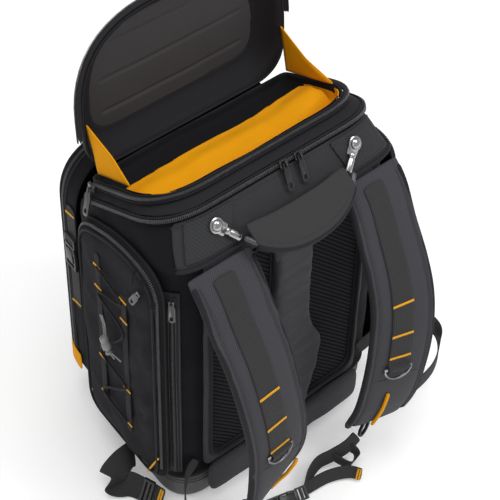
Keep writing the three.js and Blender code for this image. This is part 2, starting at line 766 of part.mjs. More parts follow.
// The pull's end frame goes round the bail, and its top bar is the pin that turns inside it.
function pullShape(length, width, tilt) {
  const inner = BAIL_THICK / 2 + 0.7;
  const outer = inner + 1.7;
  const reach = Math.hypot(BAIL_HALF, PIN_SIZE / 2 + PIN_PLAY + BAIL_BAR) + 0.6;
  const neck = reach + 1.4;
  const plate = new THREE.Shape([
    new THREE.Vector2(-outer, PIN_SIZE / 2),
    new THREE.Vector2(-outer, -neck),
    new THREE.Vector2(-width / 2, -neck - 3),
    new THREE.Vector2(-width / 2, -length + 3),
    new THREE.Vector2(-width / 2 + 2.4, -length),
    new THREE.Vector2(width / 2 - 2.4, -length),
    new THREE.Vector2(width / 2, -length + 3),
    new THREE.Vector2(width / 2, -neck - 3),
    new THREE.Vector2(outer, -neck),
    new THREE.Vector2(outer, PIN_SIZE / 2),
  ]);
  plate.holes.push(new THREE.Path([
    new THREE.Vector2(-inner, -PIN_SIZE / 2),
    new THREE.Vector2(inner, -PIN_SIZE / 2),
    new THREE.Vector2(inner, -reach),
    new THREE.Vector2(-inner, -reach),
  ]));
  const eye = new THREE.Path();
  eye.absellipse(0, -length + 7, width / 4, 3.6, 0, Math.PI * 2);
  plate.holes.push(eye);
  const geometry = new THREE.ExtrudeGeometry(plate, { depth: PULL_THICK, bevelEnabled: false, curveSegments: 4 });
  return facingOut(merged(geometry.translate(0, 0, -PULL_THICK / 2).rotateX(tilt)));
}

// Adds a pull that hangs from the slider of a frame. `tilt` leans its tip towards the cloth.
function addPull(name, frame, { length, width, tilt, material }) {
  const shape = pullShape(length, width, tilt).translate(0, 0, PIN_HEIGHT);
  addPiece(name, shape, material).applyMatrix4(frame);
}

function buildZipPulls() {
  const slopeTop = ringPoint(bodyTopRing(0), CORNER_STEPS + 0.5);
  const slopeFoot = ringPoint(shoulderRing, CORNER_STEPS + 0.5);
  const down = slopeFoot.sub(slopeTop).normalize();
  const out = vec(1, 0, 0).cross(down).negate().normalize();
  const nearZip = onTop(0, -RIM_LENGTH - ZIP_OUTSET_BACK, -ZIP_DROP);
  [{ name: 'left', x: 3 }, { name: 'right', x: 25 }].forEach(({ name, x }) => {
    const frame = placed(nearZip.clone().setX(x).addScaledVector(out, ZIP_SIZE / 2 + GAP), down, out);
    addPiece(`main_slider_${name}`, sliderShape(), blackMetal).applyMatrix4(frame);
    addPull(`main_pull_${name}`, frame, { length: 34, width: 9, tilt: 0.1, material: blackPlastic });
  });

  const rimSide = RIM_HALF + SEWN_GAP + ZIP_SIZE + GAP;
  const atRim = placed(onTop(-rimSide, -HINGE_CORNER - 6, -4), vec(0, 0, -1), vec(-1, 0, 0));
  addPiece('lid_slider', sliderShape(), blackMetal).applyMatrix4(atRim);
  addPull('lid_pull', atRim, { length: 38, width: 9, tilt: -0.22, material: blackMetal });
}

// Padded back: a plate with two windows, a mesh panel in each, the spine and the lumbar pad

const back = new THREE.Group();
back.position.y = BODY_BACK - GAP;
back.rotation.x = Math.PI / 2;
bag.add(back);

function cushionSlab(outline, thick, bevel) {
  const shape = new THREE.Shape(outline);
  const geometry = new THREE.ExtrudeGeometry(shape, {
    depth: thick - 2 * bevel,
    bevelThickness: bevel,
    bevelSize: bevel,
    bevelOffset: -bevel,
    bevelSegments: 1,
  });
  return facingOut(merged(geometry.translate(0, 0, bevel)));
}

function buildBack() {
  const panel = roundedOutline([
    { x: -PANEL_HALF, y: PANEL_BOTTOM, round: 12 },
    { x: PANEL_HALF, y: PANEL_BOTTOM, round: 12 },
    { x: PANEL_HALF, y: SHOULDER_Z - 4, round: 8 },
    { x: -PANEL_HALF, y: SHOULDER_Z - 4, round: 8 },
  ], 3);
  const window = (hand, inset) => roundedOutline([
    { x: hand * (WINDOW_INNER + inset), y: WINDOW_BOTTOM + inset, round: 14 },
    { x: hand * (WINDOW_OUTER - inset), y: WINDOW_BOTTOM + inset, round: 26 },
    { x: hand * (WINDOW_OUTER - inset), y: WINDOW_TOP - inset, round: 26 },
    { x: hand * (WINDOW_INNER + inset), y: WINDOW_TOP - inset, round: 14 },
  ], 4);
  const plate = slab(panel, PANEL_THICK, [window(-1, 0), window(1, 0)]);
  addPiece('back_panel', plate, padCloth, back);
  addPiece('mesh_panel_left', slab(window(-1, GAP), MESH_THICK), meshCloth, back);
  addPiece('mesh_panel_right', slab(window(1, GAP), MESH_THICK), meshCloth, back);

  // The spine widens in waves on its way down.
  const waves = [
    { z: 0, half: 36 },
    { z: 0.08, half: 42 },
    { z: 0.24, half: 56 },
    { z: 0.34, half: 57 },
    { z: 0.44, half: 42 },
    { z: 0.6, half: 32 },
    { z: 0.85, half: 31 },
    { z: 1, half: 38 },
  ];
  const low = LUMBAR_TOP + GAP;
  const high = WINDOW_TOP + 10;
  const edge = new THREE.SplineCurve(waves.map(({ z, half }) => new THREE.Vector2(half, lerp(low, high, z))));
  const right = edge.getPoints(16);
  const left = right.map(({ x, y }) => new THREE.Vector2(-x, y)).reverse();
  const spine = cushionSlab([...right, ...left], SPINE_THICK, 2);
  addPiece('spine_pad', spine.translate(0, 0, PANEL_THICK + GAP), padCloth, back);

  const lumbar = roundedOutline([
    { x: -PANEL_HALF, y: LUMBAR_BOTTOM, round: 16 },
    { x: PANEL_HALF, y: LUMBAR_BOTTOM, round: 16 },
    { x: PANEL_HALF, y: LUMBAR_TOP, round: 10 },
    { x: -PANEL_HALF, y: LUMBAR_TOP, round: 10 },
  ], 3);
  addPiece('lumbar_pad', cushionSlab(lumbar, LUMBAR_THICK, 2.5).translate(0, 0, PANEL_THICK + GAP), padCloth, back);
}

// Shoulder straps. Both follow one arched route out from the yoke; each pad has its own twist.

const strapRoute = [
  { x: 113, y: -115.3, z: 417 },
  { x: 113, y: -134, z: 396 },
  { x: 112, y: -157, z: 355 },
  { x: 111, y: -182, z: 316 },
  { x: 110, y: -200, z: 274 },
  { x: 105, y: -210, z: 220 },
  { x: 98, y: -212, z: 165 },
  { x: 96, y: -205, z: 108 },
  { x: 98, y: -188, z: 58 },
];

const strapKinds = [
  { name: 'left', hand: -1, twist: 0.04, curl: 0.35, sway: 0, swing: -20, rail: 0.34 },
  { name: 'right', hand: 1, twist: 0.24, curl: 0, sway: -8, swing: 0, rail: 0.1 },
];
const WEBBING_SHIFT = 5;

function strapFrame(curve, { hand, twist, curl }, share) {
  const { smoothstep } = THREE.MathUtils;
  const turn = twist * smoothstep(share, 0.15, 0.6) + curl * smoothstep(share, 0.6875, 1);
  const along = curve.getTangentAt(share);
  const side = vec(Math.cos(turn), -hand * Math.sin(turn), 0);
  side.addScaledVector(along, -side.dot(along)).normalize();
  return { at: curve.getPointAt(share), side, up: along.clone().cross(side).normalize(), along };
}

function buildStrap(kind) {
  const { name, hand, sway, swing, rail } = kind;
  const curve = smoothCurve(strapRoute.map(({ x, y, z }, i) => {
    const drift = sway * THREE.MathUtils.smoothstep(i, 1, 5) + swing * THREE.MathUtils.smoothstep(i, 5, 8.5);
    return vec(hand * x + drift, y, z);
  }));
  const thickAt = (share) => lerp(PAD_TOP_THICK, PAD_THICK, THREE.MathUtils.smoothstep(share, 0, 0.12));
  const pad = Array.from({ length: PAD_STATIONS + 1 }, (_, i) => {
    const share = i / PAD_STATIONS;
    return { ...strapFrame(curve, kind, share), wide: PAD_WIDTH, thick: thickAt(share) };
  });
  addPiece(`strap_pad_${name}`, sweep(pad, padSection), padCloth);

  // What lies on the pad follows the pad's own straight spans, so that it stays clear of them.
  const onPad = (share, rise) => {
    const low = Math.min(Math.floor(share * PAD_STATIONS), PAD_STATIONS - 1);
    const part = share * PAD_STATIONS - low;
    const mix = (key) => pad[low][key].clone().lerp(pad[low + 1][key], part);
    const frame = { at: mix('at'), side: mix('side').normalize(), up: mix('up').normalize(), along: mix('along') };
    frame.at.addScaledVector(frame.up, lerp(pad[low].thick, pad[low + 1].thick, part) / 2 + rise);
    return frame;
  };

  // The webbing passes over the ring's bar near its end.
  const hump = RING_WIRE + 2 * RING_PLAY;
  const flat = Array.from({ length: Math.floor(WEBBING_END * PAD_STATIONS) }, (_, i) => (i + 1) / PAD_STATIONS);
  const overBar = [[-0.032, 0], [-0.027, 0.6], [-0.024, 1], [-0.008, 1], [-0.004, 0.6], [0, 0]]
    .map(([share, rise]) => ({ share: WEBBING_END + share, rise }));
  const webbing = [{ share: WEBBING_START, rise: 0 }, ...flat.map((share) => ({ share, rise: 0 })), ...overBar]
    .map(({ share, rise }) => {
      const frame = onPad(share, GAP + WEBBING / 2 + rise * hump);
      frame.at.x -= WEBBING_SHIFT;
      return { ...frame, wide: STRAP_WEBBING_WIDTH, thick: WEBBING };
    });
  addPiece(`strap_webbing_${name}`, sweep(webbing, flatSection), webbingBlack);

  const bar = onPad(WEBBING_END - 0.016, RING_PLAY + RING_WIRE / 2);
  bar.at.x -= WEBBING_SHIFT;
  const down = bar.along.clone().multiplyScalar(Math.cos(RING_LIFT)).addScaledVector(bar.up, Math.sin(RING_LIFT));
  addPiece(`d_ring_${name}`, sweep(ringRoute(bar, down), roundSection(6), { closed: true }), blackMetal);

  const railStations = Array.from({ length: 6 }, (_, i) => {
    const frame = onPad(lerp(RAIL_START, 0.995, i / 5), 2 * GAP + RAIL_WIDTH / 2);
    frame.at.addScaledVector(frame.side, -hand * rail * PAD_WIDTH);
    return { ...frame, wide: RAIL_WIDTH / 2, thick: RAIL_WIDTH / 2 };
  });
  addPiece(`strap_rail_${name}`, sweep(railStations, roundSection(8)), yellowCloth);
}

// A D: a straight bar with an arc below it, as stations of a closed sweep.
function ringRoute(bar, down) {
  const points = [];
  const arcSteps = 10;
  for (let i = 0; i <= arcSteps; i += 1) {
    const turn = Math.PI * (i / arcSteps);
    points.push({ a: RING_HALF * Math.cos(turn), b: RING_DEPTH * Math.sin(turn) });
  }
  points.push({ a: -RING_HALF * 0.5, b: 0 }, { a: RING_HALF * 0.5, b: 0 });
  const places = points.map(({ a, b }) => bar.at.clone().addScaledVector(bar.side, a).addScaledVector(down, b));
  const normal = bar.side.clone().cross(down).normalize();
  return places.map((at, i) => {
    const along = places[(i + 1) % places.length].clone().sub(places.at(i - 1)).normalize();
    return { at, side: along.clone().cross(normal).normalize(), up: normal, wide: RING_WIRE / 2, thick: RING_WIRE / 2 };
  });
}

// The lower webbing hangs in a slack loop between the bag's lower corner and the end of each pad.
// `sewn` points are [distance out from the body's side, y, z], and `loose` points are [x, y, z].
const lowerRoutes = [
  {
    name: 'left',
    hand: -1,
    sewn: [[-34, -106, 80], [-14, -112, 66], [4, -136, 38]],
    loose: [[-168, -166, 24], [-144, -180, 34], [-118, -181, 58]],
  },
  {
    name: 'right',
    hand: 1,
    sewn: [[-34, -105, 80], [4, -114, 104], [46, -134, 112], [64, -156, 84]],
    loose: [[212, -178, 62], [164, -186, 56], [112, -185.4, 60]],
  },
];

function buildLowerWebbing() {
  lowerRoutes.forEach(({ name, hand, sewn, loose }) => {
    const run = [
      ...sewn.map(([out, y, z]) => vec(hand * (BODY_HALF_BACK + out), y, z)),
      ...loose.map((point) => vec(...point)),
    ];
    addPiece(`lower_webbing_${name}`, ribbon(run, vec(0, 0, 1), LOWER_WEBBING_WIDTH), webbingBlack);
  });
}

// Handle: riveted tabs, crimped ferrules, a coated cable and a padded grip that lies round its middle

const handleRoute = [
  { x: -82, y: -122, z: 441 },
  { x: -66, y: -135, z: 430 },
  { x: -38, y: -147, z: 420 },
  { x: 0, y: -151, z: 416 },
  { x: 38, y: -147, z: 420 },
  { x: 66, y: -135, z: 430 },
  { x: 82, y: -122, z: 441 },
];

function buildHandle() {
  const slopePlace = CORNER_STEPS;
  const rise = SEWN_GAP + YOKE_THICK + GAP;
  ['left', 'right'].forEach((name, i) => {
    const hand = i === 0 ? -1 : 1;
    const places = hand < 0 ? [6.14, 6, 5, 4] : [6.86, 7, 8, 9];
    const grid = [];
    places.forEach((place) => [0.1, 0.86].forEach((share) => {
      grid.push(yokePoint(place, share, rise + WEBBING / 2 + 0.4));
    }));
    const triangles = [];
    for (let k = 0; k < places.length - 1; k += 1) {
      triangles.push([2 * k, 2 * k + 1, 2 * k + 3], [2 * k, 2 * k + 3, 2 * k + 2]);
    }
    addPiece(`handle_patch_${name}`, thickSheet(grid, triangles, WEBBING), ribbedCloth);

    const place = slopePlace + (hand < 0 ? 0.02 : 0.98);
    const seat = yokePoint(place, RIVET_SHARE, rise + WEBBING + 0.8);
    const out = yokePoint(place, RIVET_SHARE, rise + 20).sub(yokePoint(place, RIVET_SHARE, rise)).normalize();
    const cableEnd = vec(hand * Math.abs(handleRoute[0].x), handleRoute[0].y, handleRoute[0].z);
    const tabAt = placed(seat, cableEnd.clone().sub(seat), out);
    const tab = new THREE.BoxGeometry(TAB_WIDTH, TAB_LENGTH, TAB_THICK)
      .translate(0, -TAB_LENGTH / 2 + TAB_WIDTH / 2, TAB_THICK / 2).applyMatrix4(tabAt);
    const knuckle = vec(0, -TAB_LENGTH + TAB_WIDTH / 2 + 3, FERRULE_THICK / 2 + 0.2).applyMatrix4(tabAt);
    const reach = cableEnd.clone().sub(knuckle);
    const aim = placed(knuckle, reach, out.clone().projectOnPlane(reach));
    const ferruleLength = reach.length() - 4 * GAP;
    const ferrule = new THREE.BoxGeometry(FERRULE_WIDTH, ferruleLength, FERRULE_THICK)
      .translate(0, -ferruleLength / 2, 0).applyMatrix4(aim);
    const hole = new THREE.CylinderGeometry(3.4, 3.4, 8, 10).rotateX(Math.PI / 2).applyMatrix4(tabAt);
    addPiece(`handle_end_${name}`, cut(join(tab, ferrule), hole), chrome);

    const dome = [[0, RIVET_RISE], [3, RIVET_RISE * 0.95], [6, RIVET_RISE * 0.7], [8.2, RIVET_RISE * 0.35], [9, 0.2],
      [9, 0], [3, 0], [3, -TAB_THICK - GAP], [0, -TAB_THICK - GAP]];
    const profile = dome.map(([r, z]) => new THREE.Vector2(r * RIVET_RADIUS / 9, z)).reverse();
    const rivet = facingOut(merged(new THREE.LatheGeometry(profile, 14).rotateX(Math.PI / 2)));
    addPiece(`rivet_${name}`, rivet.translate(0, 0, TAB_THICK + GAP), chrome).applyMatrix4(tabAt);
  });

  const run = smoothCurve(handleRoute.map(({ x, y, z }) => vec(x, y, z)));
  addPiece('handle_cable', tube(run, CABLE_RADIUS, 8, 22), blackPlastic);

  // The grip's flap reaches from the cable back towards the yoke, and its edge is bored for the cable.
  const flapDown = vec(0, -0.79, -0.61);
  const flapUp = vec(0, -0.61, 0.79);
  const stations = 15;
  const rings = Array.from({ length: stations }, (_, i) => {
    const share = i / (stations - 1);
    const x = lerp(-GRIP_HALF, GRIP_HALF, share);
    const onCable = cableAt(run, x);
    const chord = Math.max(1, 37 * Math.sqrt(Math.max(1 - (x / (GRIP_HALF + 4)) ** 2, 0)));
    const section = [
      [6, -2.5], [6, 2.5], [3, GRIP_THICK / 2], [-3, GRIP_THICK / 2], [-9, 4], [-9 - chord, 2.4],
      [-9 - chord, -2.4], [-9, -4], [-3, -GRIP_THICK / 2], [3, -GRIP_THICK / 2],
    ];
    return section.map(([a, b]) => onCable.clone().addScaledVector(flapDown, a).addScaledVector(flapUp, b));
  });
  const bore = tube(run, CABLE_RADIUS + GAP + 0.1, 8, 22);
  addPiece('handle_grip', cut(loft(rings), bore), gripLeather);
}

function cableAt(curve, x) {
  let low = 0;
  let high = 1;
  for (let i = 0; i < 24; i += 1) {
    const middle = (low + high) / 2;
    if (curve.getPointAt(middle).x < x) low = middle;
    else high = middle;
  }
  return curve.getPointAt(low);
}

// Chest strap: hook, webbing with a hanging loop and a free tail, and a fastened buckle

const chestRoute = [[64, -186, 38], [46, -186, 30], [26, -180, 22], [8, -175, 18], [-12, -180, 13], [-30, -192, 11]];
const chestLoop = [[50, -186, 31], [54, -197, 17], [40, -200, 12], [26, -180, 21]];
const chestTail = [[-29, -191, 11], [8, -196, 11], [32, -209, 12], [40, -222, 12]];
const chestBuckle = { from: [-31.8, -195, 11.7], to: [-88, -190, 26] };

function buildChestStrap() {
  const run = (points) => points.map((point) => vec(...point));
  addPiece('sternum_webbing', join(
    ribbon(run(chestRoute), vec(0.2, -0.5, 0.85), CHEST_WIDTH),
    ribbon(run(chestLoop), vec(0.2, -0.3, 0.95), CHEST_WIDTH * 0.8),
    ribbon(run(chestTail), vec(0, -0.4, 0.9), CHEST_WIDTH * 0.9),
  ), webbingBlack);

  const from = vec(...chestBuckle.from);
  const to = vec(...chestBuckle.to);
  const middle = from.clone().lerp(to, 0.5);
  const length = from.distanceTo(to);
  const shape = new THREE.BoxGeometry(18, length, 8);
  addPiece('sternum_buckle', shape, blackPlastic).applyMatrix4(placed(middle, to.clone().sub(from), vec(0.1, -0.6, 0.8)));

  const hookFrom = vec(84.3, -188, 56.8);
  const hookTo = vec(...chestRoute[0]);
  const hook = new THREE.Shape();
  hook.absellipse(0, 0, 6, hookFrom.distanceTo(hookTo) / 2 - GAP, 0, Math.PI * 2);
  const eye = new THREE.Path();
  eye.absellipse(0, 0, 3, hookFrom.distanceTo(hookTo) / 2 - 4, 0, Math.PI * 2);
  hook.holes.push(eye);
  const hookShape = new THREE.ExtrudeGeometry(hook, { depth: 4, bevelEnabled: false, curveSegments: 6 });
  addPiece('sternum_hook', facingOut(merged(hookShape.translate(0, 0, -2))), blackPlastic)
    .applyMatrix4(placed(hookFrom.clone().lerp(hookTo, 0.5), hookTo.clone().sub(hookFrom), vec(0, -1, 0.3)));
}

// Waist belt, folded over beside the base, with its lock
// Each point is [distance out from the body's side, y, z].
const beltRoute = [
  [-3.4, -20, 32], [4, -22, 38], [14, -24, 40], [26, -25, 36], [40, -27, 24],
  [36, -34, 16], [24, -44, 16], [15, -66, 16], [9, -92, 16],
];

function buildBelt() {
  const run = beltRoute.map(([out, y, z]) => vec(-BODY_HALF_BACK - out, y, z));
  const beltSide = vec(0.25, 0.6, 0.75);
  addPiece('belt_webbing', ribbon(run, beltSide, BELT_WIDTH), webbingBlack);
  const { at, side, up, along } = stationsOn(smoothCurve(run), 1, () => beltSide, 0, 0, 0.82)[0];
  const frame = new THREE.Matrix4().makeBasis(side, along, side.clone().cross(along))
    .setPosition(at.addScaledVector(up, -WEBBING / 2 - GAP - 3.3));
  addPiece('belt_lock', new THREE.BoxGeometry(BELT_WIDTH + 5, 16, 5), blackPlastic).applyMatrix4(frame);
}

// Lacing: two stitched strips on the left pocket, an elastic cord over them and its lock

const laceRows = [
  { front: 352, rear: 334 },
  { front: 308, rear: 286 },
  { front: 204, rear: 190 },
  { front: 132, rear: 122 },
];
const LACE_FRONT = 20;
const LACE_REAR = -34;

function buildLacing() {
  const face = SIDE_POCKET_DEPTH;
  const strip = (y, top, bottom) => [top, lerp(top, bottom, 0.5), bottom]
    .map((z) => onSide(-1, y, z, face + GAP + WEBBING / 2));
  const along = vec(-sideSlope, 1, 0).normalize();
  addPiece('lace_strip_front', ribbon(strip(LACE_FRONT, 372, 112), along, LACE_WIDTH), webbingBlack);
  addPiece('lace_strip_rear', ribbon(strip(LACE_REAR, 350, 104), along, LACE_WIDTH), webbingBlack);
  const cordOut = face + 2 * GAP + WEBBING + BUNGEE_RADIUS + 0.2;
  const points = laceRows.flatMap(({ front, rear }) => [
    onSide(-1, LACE_FRONT, front, cordOut),
    onSide(-1, LACE_REAR, rear, cordOut),
  ]);
  addPiece('bungee_cord', tube(smoothCurve(points), BUNGEE_RADIUS, 5, 36), webbingBlack);
  const lockAt = onSide(-1, (LACE_FRONT + LACE_REAR) / 2, 246, cordOut + BUNGEE_RADIUS + GAP + 6.2);
  addPiece('cord_lock', new THREE.CapsuleGeometry(6, 12, 3, 8), blackPlastic)
    .applyMatrix4(placed(lockAt, vec(0, -0.45, -0.9), vec(-1, 0, 0)));
}

function buildSideZip() {
  const stations = [62, 150, 240, 320, 384].map((z) => {
    const share = z < 240 ? (z - STEP_Z) / (240 - STEP_Z) : 1 - (z - 240) / (SHOULDER_Z - 240);
    const swell = SIDE_BULGE * share;
    const outline = fourCorners({ ...bodyPlan, halfBack: BODY_HALF_BACK + swell });
    const middle = CORNER_STEPS / 2;
    const here = outline[middle];
    const along = outline[middle + 1].clone().sub(outline[middle - 1]).normalize();
    const side = vec(along.x, along.y, 0);
    const out = vec(along.y, -along.x, 0);
    return { at: vec(here.x, here.y, z).addScaledVector(out, SEWN_GAP), side, up: out, wide: 18, thick: 2.4 };
  });
  const section = [[-0.5, 0], [0.5, 0], [0.5, 0.6], [0.14, 0.6], [0.1, 1.1], [-0.1, 1.1], [-0.14, 0.6], [-0.5, 0.6]];
  const frame = placed(stations.at(-1).at.clone().setZ(374), vec(0, 0, -1), stations.at(-1).up);
  addPiece('side_zip', join(sweep(stations, section), sliderShape().applyMatrix4(frame)), webbingBlack);
  addPull('side_pull', frame, { length: 34, width: 9, tilt: 0.03, material: blackMetal });
}

buildBase();
buildBody();
buildYoke();
buildTray();
buildLid();
gussetKinds.forEach(buildGusset);
buildFrontPocket();
buildSidePocket('left', -1);
buildSidePocket('right', 1);
buildZipPulls();
buildBack();
strapKinds.forEach(buildStrap);
buildLowerWebbing();
buildHandle();
buildChestStrap();
buildBelt();
buildLacing();
buildSideZip();

export default bag;
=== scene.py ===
# Tool backpack: cloth, padding, webbing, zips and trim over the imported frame. Sizes are in millimetres
# in the dictionaries and in metres in the meshes.
import bpy
import bmesh
import json
import math
from mathutils import Matrix, Vector, noise

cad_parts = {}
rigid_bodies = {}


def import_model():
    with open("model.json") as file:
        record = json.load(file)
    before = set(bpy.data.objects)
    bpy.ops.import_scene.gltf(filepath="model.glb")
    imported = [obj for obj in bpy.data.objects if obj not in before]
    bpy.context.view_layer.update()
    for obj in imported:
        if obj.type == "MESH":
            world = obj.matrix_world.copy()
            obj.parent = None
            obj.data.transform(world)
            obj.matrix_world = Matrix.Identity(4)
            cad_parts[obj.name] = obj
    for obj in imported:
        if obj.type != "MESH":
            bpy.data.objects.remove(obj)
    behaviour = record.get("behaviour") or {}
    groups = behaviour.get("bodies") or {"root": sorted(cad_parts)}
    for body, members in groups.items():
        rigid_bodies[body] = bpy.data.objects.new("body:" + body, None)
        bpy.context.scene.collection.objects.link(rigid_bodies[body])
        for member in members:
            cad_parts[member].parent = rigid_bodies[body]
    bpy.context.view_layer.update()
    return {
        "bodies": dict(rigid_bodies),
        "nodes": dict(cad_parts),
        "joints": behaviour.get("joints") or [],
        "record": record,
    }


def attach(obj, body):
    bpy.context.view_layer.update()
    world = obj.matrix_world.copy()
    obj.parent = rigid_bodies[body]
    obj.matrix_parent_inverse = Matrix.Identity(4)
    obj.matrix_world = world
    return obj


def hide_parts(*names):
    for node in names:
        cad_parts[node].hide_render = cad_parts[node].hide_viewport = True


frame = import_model()
nodes = frame["nodes"]
mm = 0.001

# Camera, at the photograph's angle
camera = {"azimuth": -42.44, "elevation": 45.39, "roll": 1.69, "focal": 1607.4, "frame": 500,
          "place": (-0.9081, -1.0349, 1.6710)}


def addCamera():
    turn, rise, roll = (math.radians(camera[key]) for key in ("azimuth", "elevation", "roll"))
    back = Vector((math.sin(turn) * math.cos(rise), -math.cos(turn) * math.cos(rise), math.sin(rise)))
    right = (-back).cross(Vector((0, 0, 1))).normalized()
    up = right.cross(-back)
    across = right * math.cos(roll) + up * math.sin(roll)
    upright = up * math.cos(roll) - right * math.sin(roll)
    data = bpy.data.cameras.new("camera")
    data.sensor_width = 36
    data.lens = camera["focal"] / camera["frame"] * 36
    data.clip_end = 20
    eye = bpy.data.objects.new("camera", data)
    bpy.context.scene.collection.objects.link(eye)
    eye.matrix_world = Matrix.Translation(camera["place"]) @ Matrix((across, upright, back)).transposed().to_4x4()
    bpy.context.scene.camera = eye


addCamera()
print("camera set")


# Shape helpers

def at(x, y, z):
    return Vector((x, y, z)) * mm


# The part of a direction that is square to another
def squared(side, along):
    return (side - along * side.dot(along)).normalized()


# Even route through the points, as the frame's own routes run.
def smoothRoute(points, steps=24):
    run = [Vector(p) for p in points]
    run = [run[0] * 2 - run[1]] + run + [run[-1] * 2 - run[-2]]
    dense = []
    for k in range(1, len(run) - 2):
        p0, p1, p2, p3 = run[k - 1:k + 3]
        d1, d2, d3 = ((b - a).length ** 0.5 or 1.0 for a, b in ((p0, p1), (p1, p2), (p2, p3)))
        t1 = ((p1 - p0) / d1 - (p2 - p0) / (d1 + d2) + (p2 - p1) / d2) * d2
        t2 = ((p2 - p1) / d2 - (p3 - p1) / (d2 + d3) + (p3 - p2) / d3) * d2
        for i in range(steps):
            t = i / steps
            dense.append(p1 * (2 * t ** 3 - 3 * t ** 2 + 1) + t1 * (t ** 3 - 2 * t ** 2 + t)
                         + p2 * (3 * t ** 2 - 2 * t ** 3) + t2 * (t ** 3 - t ** 2))
    return straightRoute(dense + [run[-2]])


def straightRoute(points, closed=False):
    run = [Vector(p) for p in points]
    if closed:
        run.append(run[0])
    reach = [0.0]
    for a, b in zip(run, run[1:]):
        reach.append(reach[-1] + (b - a).length)
    return {"points": run, "reach": reach, "length": reach[-1]}


def onRoute(route, share):
    want = min(max(share, 0), 1) * route["length"]
    reach = route["reach"]
    low, high = 0, len(reach) - 1
    while high - low > 1:
        half = (low + high) // 2
        if reach[half] <= want:
            low = half
        else:
            high = half
    span = max(reach[high] - reach[low], 1e-9)
    a, b = route["points"][low], route["points"][high]
    return a.lerp(b, (want - reach[low]) / span)


def heading(route, share):
    return (onRoute(route, share + 0.004) - onRoute(route, share - 0.004)).normalized()


def smoothstep(value, low, high):
    t = min(max((value - low) / (high - low), 0), 1)
    return t * t * (3 - 2 * t)


def mix(a, b, t):
    return a + (b - a) * t


# Corners are (x, y, round), each turned by a smooth bend.
def roundedOutline(corners, steps=12):
    points = []
    for k, (x, y, turn) in enumerate(corners):
        here = Vector((x, y))
        before = Vector(corners[k - 1][:2])
        after = Vector(corners[(k + 1) % len(corners)][:2])
        a = here + (before - here).normalized() * turn
        b = here + (after - here).normalized() * turn
        for i in range(steps + 1):
            t = i / steps
            points.append(a * (1 - t) ** 2 + here * 2 * t * (1 - t) + b * t ** 2)
    return points


def fourCorners(plan, inset=0, steps=12):
    roundBack = max(plan["cornerBack"] - inset * 0.6, 2)
    roundFront = max(plan["cornerFront"] - inset * 0.6, 2)
    return roundedOutline([
        (-plan["halfBack"] + inset, plan["back"] + inset, roundBack),
        (plan["halfBack"] - inset, plan["back"] + inset, roundBack),
        (plan["halfFront"] - inset, plan["front"] - inset, roundFront),
        (-plan["halfFront"] + inset, plan["front"] - inset, roundFront),
    ], steps)


# Extrudes the first ring from place to place. `along` and `across` keep each point's place on the cloth.
def loft(bm, rings, closed=False, capStart=True, capEnd=True, along=None, across=None):
    order = bm.verts.layers.int.get("order") or bm.verts.layers.int.new("order")
    alongLayer = bm.verts.layers.float.get("along") or bm.verts.layers.float.new("along")
    acrossLayer = bm.verts.layers.float.get("across") or bm.verts.layers.float.new("across")
    count = len(rings[0])
    first = []
    for k, point in enumerate(rings[0]):
        vert = bm.verts.new(point)
        vert[order] = k
        vert[alongLayer] = along[0] if along else 0
        vert[acrossLayer] = across[k] if across else 0
        first.append(vert)
    edges = [bm.edges.new((first[k], first[(k + 1) % count])) for k in range(count)]
    start = list(edges)
    rows = rings[1:] + ([rings[0]] if closed else [])
    for row, ring in enumerate(rows):
        made = bmesh.ops.extrude_edge_only(bm, edges=edges)["geom"]
        fresh = {g for g in made if isinstance(g, bmesh.types.BMVert)}
        for vert in fresh:
            vert.co = ring[vert[order]]
            if along:
                vert[alongLayer] = along[row + 1]
        edges = [g for g in made if isinstance(g, bmesh.types.BMEdge) and all(v in fresh for v in g.verts)]
    if not closed and capStart:
        bmesh.ops.contextual_create(bm, geom=start)
    if not closed and capEnd:
        bmesh.ops.contextual_create(bm, geom=edges)
    if closed:
        bmesh.ops.remove_doubles(bm, verts=bm.verts, dist=1e-6)
    return bm


def sweptUv(bm):
    uv = bm.loops.layers.uv.get("clothUv") or bm.loops.layers.uv.new("clothUv")
    alongLayer, acrossLayer = bm.verts.layers.float["along"], bm.verts.layers.float["across"]
    for face in bm.faces:
        for loop in face.loops:
            loop[uv].uv = (loop.vert[alongLayer], loop.vert[acrossLayer])


def boxUv(bm):
    uv = bm.loops.layers.uv.get("clothUv") or bm.loops.layers.uv.new("clothUv")
    bm.normal_update()
    for face in bm.faces:
        axis = max(range(3), key=lambda i: abs(face.normal[i]))
        u, v = ((1, 2), (0, 2), (0, 1))[axis]
        for loop in face.loops:
            loop[uv].uv = (loop.vert.co[u], loop.vert.co[v])


def splitLong(bm, longest, rounds=5):
    for _ in range(rounds):
        edges = [e for e in bm.edges if e.calc_length() > longest]
        if not edges:
            break
        bmesh.ops.subdivide_edges(bm, edges=edges, cuts=1, use_grid_fill=True)


# Moves the cloth in and out. Folds are (size, height, shift), and `outward` gives each point's direction.
def crumple(bm, folds, outward, mask=None, turn=None):
    for vert in bm.verts:
        x, y, z = turn @ vert.co if turn else vert.co
        push = sum(noise.noise(Vector((x / sx, y / sy, z / sz)) * 1000 + Vector((shift,) * 3))
                   * height for (sx, sy, sz), height, shift in folds)
        share = mask(vert.co) if mask else 1
        vert.co += outward(vert.co) * push * mm * share


def cutAt(bm, place, way):
    bmesh.ops.bisect_plane(bm, geom=bm.verts[:] + bm.edges[:] + bm.faces[:], dist=1e-6, plane_co=place,
                           plane_no=way)


def asObject(bm, name):
    mesh = bpy.data.meshes.new(name)
    bm.to_mesh(mesh)
    bm.free()
    piece = bpy.data.objects.new(name, mesh)
    bpy.context.scene.collection.objects.link(piece)
    return piece


